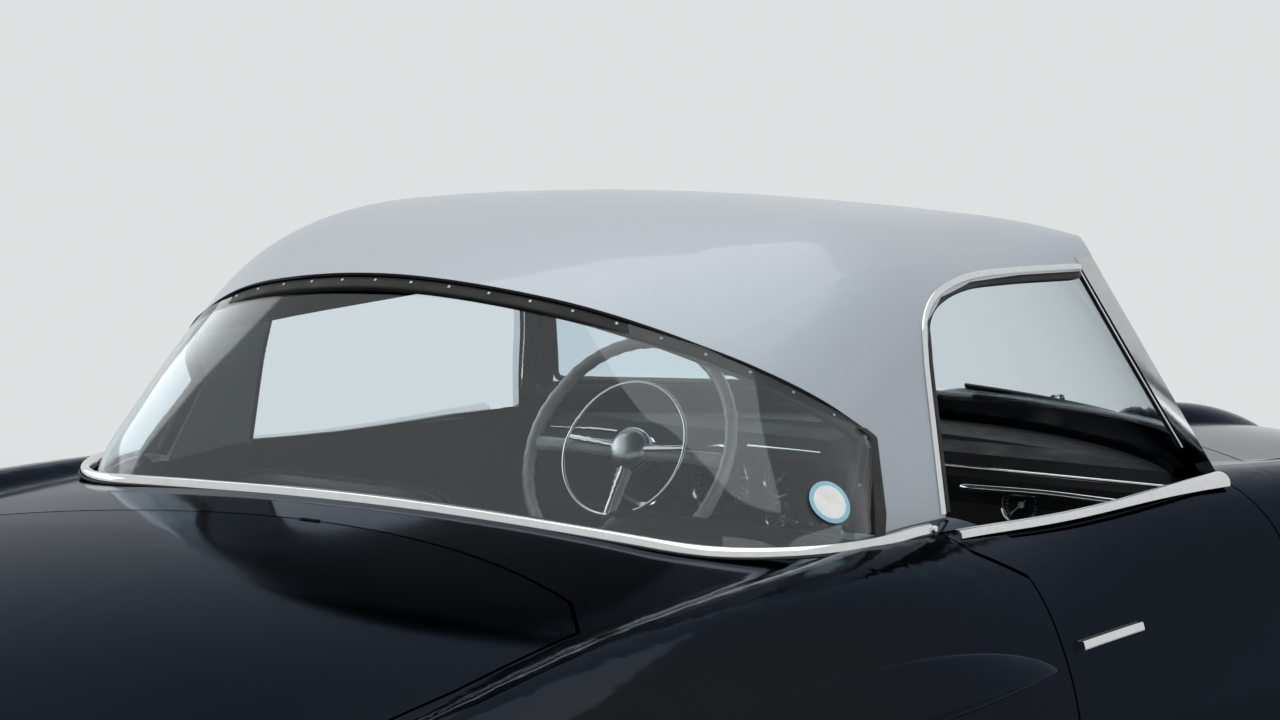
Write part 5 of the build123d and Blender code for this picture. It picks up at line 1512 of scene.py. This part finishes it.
class ROADSTER_OT_outside_trim(RoadsterPart, bpy.types.Operator):
    """Makes the wipers, side vents, plates, bumper tips and exhaust tip."""

    bl_idname = "roadster.outside_trim"
    bl_label = "Outside trim"

    def execute(self, context):
        glass = skin_of("windscreen_glass")
        cowl = skin_of("front_body", "hood")
        for name, pivot_x, start_x, end_x in (
            ("left", 0.330, 0.385, 0.045), ("right", -0.230, -0.060, -0.400),
        ):
            x, z = np.linspace(start_x, end_x, 14), 0.962 - 0.016 * (np.arange(14) / 13)
            blade = all_hits(glass, zip(x, np.full(14, -1.4), z), (0, 1, 0)) + [0, -0.006, 0.003]
            make_piece(f"wiper_blade_{name}", [sweep(blade, soft_box(0.012, 0.006, 0.002), (0, -1, 0.8))],
                       "seal_rubber")
            pivot = dropped(cowl, [(pivot_x, blade[:, 1].min() - 0.045)])[0]
            middle = blade[len(blade) // 2] + [0, -0.008, 0.006]
            arm = smooth_path([pivot + [0, 0, 0.014], (pivot + middle) / 2 + [0, -0.012, 0.024], middle], 20)
            post = [(0.0, 0.022), (0.007, 0.021), (0.009, 0.014), (0.013, 0.008), (0.014, -0.004),
                    (0.0, -0.004)]
            arm = [sweep(arm, ellipse(0.009, 0.005, 8), UPWARD), lathe(post, pivot, (0, -0.2, 1), 24)]
            make_piece(f"wiper_arm_{name}", arm, "chrome")
        self.vents()
        self.plates()
        self.bumper_tips()
        tip = [(0.0235, 0.030), (0.0265, 0.030), (0.0275, 0.024), (0.0275, -0.060), (0.0235, -0.060),
               (0.0215, -0.050), (0.0215, 0.026), (0.0235, 0.030)]
        make_piece("exhaust_tip", [lathe(tip, (-0.330, 2.205, 0.235), (0, 1, 0), 36)], "chrome")
        return {"FINISHED"}

    def vents(self):
        """The outlet in each front wing: a dark sheet on the skin, painted shade standing for the recess,
        behind three bright bars, with an oblong rim whose corners are squared by a power of sine and cosine."""
        side = skin_of("front_body")
        middle_y, middle_z, square = -0.720, 0.660, 0.45

        def on_wing(y, z, out):
            """The point on the left wing at a place seen from the side, moved out a little."""
            hit = solid_hit(side, (BESIDE_CAR, y, z), (-1, 0, 0), "vents")
            return hit + [out, 0, 0]

        y = np.linspace(middle_y - 0.160, middle_y + 0.160, 24)
        z = np.linspace(0.612, 0.708, 8)
        # A dark sheet just off the wing's skin: painted shade for the vent's recess.
        dark = np.array([[on_wing(a, b, 0.0012) for b in z] for a in y])
        make_piece("vent_shade_sheet", both_sides(walled(dark, dark - [0.004, 0, 0])), "seal_rubber")
        bars = []
        for level in (0.630, middle_z, 0.690):
            path = np.array([on_wing(a, level, 0.006) for a in y])
            bars.append(sweep(path, ellipse(0.009, 0.007, 8), (1, 0, 0)))
        t = full_turn(72)
        wide, high = 0.168 * pulled(np.cos(t), square), 0.056 * pulled(np.sin(t), square)
        rim = np.array([on_wing(middle_y + a, middle_z + b, 0.003) for a, b in zip(wide, high)])
        bars.append(sweep(rim, ellipse(0.008, 0.006, 8), (1, 0, 0), closed=True))
        make_piece("vent_bars", both_sides(*bars), "chrome")

    def bumper_tips(self):
        """Domed caps on the cut ends of both bumpers: the blade's oval is carried on round a
        bend that straightens out, and shrinks as a quarter circle does."""
        reach, overlap, bend, widest = 0.018, 0.004, radians(21.0), 0.8862
        along = np.linspace(-overlap, reach, 15)
        beyond = np.clip(along, 0, reach) / reach
        turn, step = bend * (1 - beyond), np.gradient(along)
        path = np.cumsum(np.stack([np.sin(turn), np.cos(turn), 0 * turn], axis=1) * step[:, None], axis=0)
        path += BUMPER_END - path[np.argmin(abs(along))]
        grid, *wraps = sweep(path, ellipse(*BUMPER_SECTION, 28), UPWARD, taper=np.sqrt(1 - beyond**2))
        grid[..., 0] = np.minimum(grid[..., 0], widest)
        make_piece("bumper_tips", both_sides((grid, *wraps), (grid * [1, -1, 1], *wraps)), "chrome")

    def plates(self):
        """The two number plates, left blank, on their holders."""
        for name, node, sign, aim_z, z, gap, lean, (width, height) in (
            ("front", "front_bumper", -1, 0.400, 0.300, 0.004, UPWARD, (0.440, 0.100)),
            ("rear", "rear_body", 1, 0.520, 0.520, 0.012, (0, -0.25, 0.97), (0.305, 0.152)),
        ):
            hit = solid_hit(skin_of(node), (0, sign * PAST_BUMPERS, aim_z), (0, -sign, 0), "plates")
            place = placement((0, hit[1] + sign * gap, z), (1, 0, 0), lean)
            plate = panel(rounded_outline(width, height, 0.010), 0.004, place)
            make_piece(f"plate_{name}", [plate], "plate_blank")
            border = rounded_outline(width + 0.006, height + 0.006, 0.012)
            loop = move(np.column_stack([border, np.zeros(len(border))]), place)
            rim = sweep(loop, ellipse(0.009, 0.008, 8), place[:3, 2], closed=True)
            make_piece(f"plate_frame_{name}", [rim], "chrome")


class ROADSTER_OT_engine_bay(RoadsterPart, bpy.types.Operator):
    """Makes the valve cover, intake pipes, air box and radiator under the hood."""

    bl_idname = "roadster.engine_bay"
    bl_label = "Engine bay"

    def execute(self, context):
        def bar(start, end, count, section):
            """A profile carried along a straight line."""
            return sweep(np.linspace(start, end, count), section, UPWARD)

        cover = placement((0.0, -1.400, 0.712), (1, 0, 0), (0, 1, 0))
        lids = [panel(rounded_outline(0.190, 0.640, 0.045), 0.050, cover)]
        for y in -1.640 + 0.060 * np.arange(9):
            lids.append(bar((-0.075, y, 0.739), (0.075, y, 0.739), 8, ellipse(0.012, 0.008, 8)))
        make_piece("valve_cover", lids, "cast_metal")
        pipes = []
        for y in -1.650 + 0.100 * np.arange(6):
            route = smooth_path([(0.10, y, 0.640), (0.17, y, 0.665), (0.24, y, 0.668), (0.30, y, 0.640)], 20)
            pipes.append(sweep(route, rod(0.044, 14), (0, 1, 0)))
        make_piece("intake_pipes", pipes, "cast_metal")
        box = bar((0.335, -1.720, 0.625), (0.335, -1.080, 0.625), 20, soft_box(0.090, 0.100, 0.030))
        make_piece("air_box", [box], "chassis_black")
        tank = bar((-0.330, -1.905, 0.640), (0.330, -1.905, 0.640), 20, soft_box(0.060, 0.052, 0.018))
        core = bar((-0.330, -1.915, 0.455), (0.330, -1.915, 0.455), 6, soft_box(0.046, 0.320, 0.004))
        make_piece("radiator", [tank, core], "chassis_black")
        return {"FINISHED"}


class ROADSTER_OT_brows(RoadsterPart, bpy.types.Operator):
    """Makes the long brows over the four wheel arches, in the colour of the body."""

    bl_idname = "roadster.brows"
    bl_label = "Wheel arch brows"

    def execute(self, context):
        for name, middle_y in (("front", FRONT_AXLE_Y), ("rear", REAR_AXLE_Y)):
            brow = self.brow(skin_of(f"{name}_body"), middle_y)
            make_piece(f"brows_{name}", both_sides(brow), "black_paint", sharp=60)
        return {"FINISHED"}

    @staticmethod
    def brow(side, middle_y):
        """A blister on the wing: along its length it swells by a cosine bell, across it the
        outline is a round upper slope that ends in a tighter lower edge; its rim lies in the
        skin where a ray from the side meets it."""
        lower_z, half_length, drop, rise, most = 0.728, 0.47, 0.012, 0.066, 0.024
        u, v = np.meshgrid(np.linspace(-1, 1, 72), np.linspace(0, 1, 18), indexing="ij")
        bell = (1 - u * u) ** 0.75
        low, high = lower_z - drop * bell, lower_z + rise * bell + 0.002
        y, z = middle_y + half_length * u, low + (high - low) * v
        spare = np.stack([0 * y + 0.85, y, z], axis=-1)
        grid = hit_grid(side, np.stack([0 * y + BESIDE_CAR, y, z], axis=-1), (-1, 0, 0), spare)
        lift = most * bell * np.maximum(0, np.sin(pi * v**0.55)) ** 0.8
        grid[:, :, 0] += lift - 0.0006
        return walled(grid, grid - [0.030, 0, 0])


# The add-on

OPERATORS = [
    ROADSTER_OT_stage,
    ROADSTER_OT_node_finishes,
    ROADSTER_OT_hardtop_seal,
    ROADSTER_OT_window_mouldings,
    ROADSTER_OT_belt_strips,
    ROADSTER_OT_screen_posts,
    ROADSTER_OT_tyres,
    ROADSTER_OT_wheel_trim,
    ROADSTER_OT_steering_wheel,
    ROADSTER_OT_seats,
    ROADSTER_OT_lamps,
    ROADSTER_OT_sticker,
    ROADSTER_OT_dashboard,
    ROADSTER_OT_door_furniture,
    ROADSTER_OT_cabin,
    ROADSTER_OT_outside_trim,
    ROADSTER_OT_brows,
    ROADSTER_OT_engine_bay,
    ROADSTER_OT_rear_pane,
]


class ROADSTER_PT_panel(bpy.types.Panel):
    """Lists the car's colours, sizes and groups of pieces."""

    bl_idname = "ROADSTER_PT_panel"
    bl_label = "Roadster"
    bl_space_type = "VIEW_3D"
    bl_region_type = "UI"
    bl_category = "Roadster"

    def draw(self, context):
        """Two boxes of values, then a button for each group of pieces."""
        for group in (context.scene.roadster_colours, context.scene.roadster_sizes):
            box = self.layout.box()
            for key in group.bl_rna.properties.keys():
                if key not in {"rna_type", "name"}:
                    box.prop(group, key)
        for operator in OPERATORS:
            self.layout.operator(operator.bl_idname)


CLASSES = [RoadsterColours, RoadsterSizes, *OPERATORS, ROADSTER_PT_panel]


def register():
    """Makes the classes known and hangs both property groups on the scene."""
    for cls in CLASSES:
        bpy.utils.register_class(cls)
    bpy.types.Scene.roadster_colours = PointerProperty(type=RoadsterColours)
    bpy.types.Scene.roadster_sizes = PointerProperty(type=RoadsterSizes)


def unregister():
    """Undoes register."""
    del bpy.types.Scene.roadster_colours
    del bpy.types.Scene.roadster_sizes
    for cls in reversed(CLASSES):
        bpy.utils.unregister_class(cls)


def main():
    """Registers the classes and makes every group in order."""
    register()
    for operator in OPERATORS:
        group, name = operator.bl_idname.split(".")
        getattr(getattr(bpy.ops, group), name)()


if __name__ == "__main__":
    main()
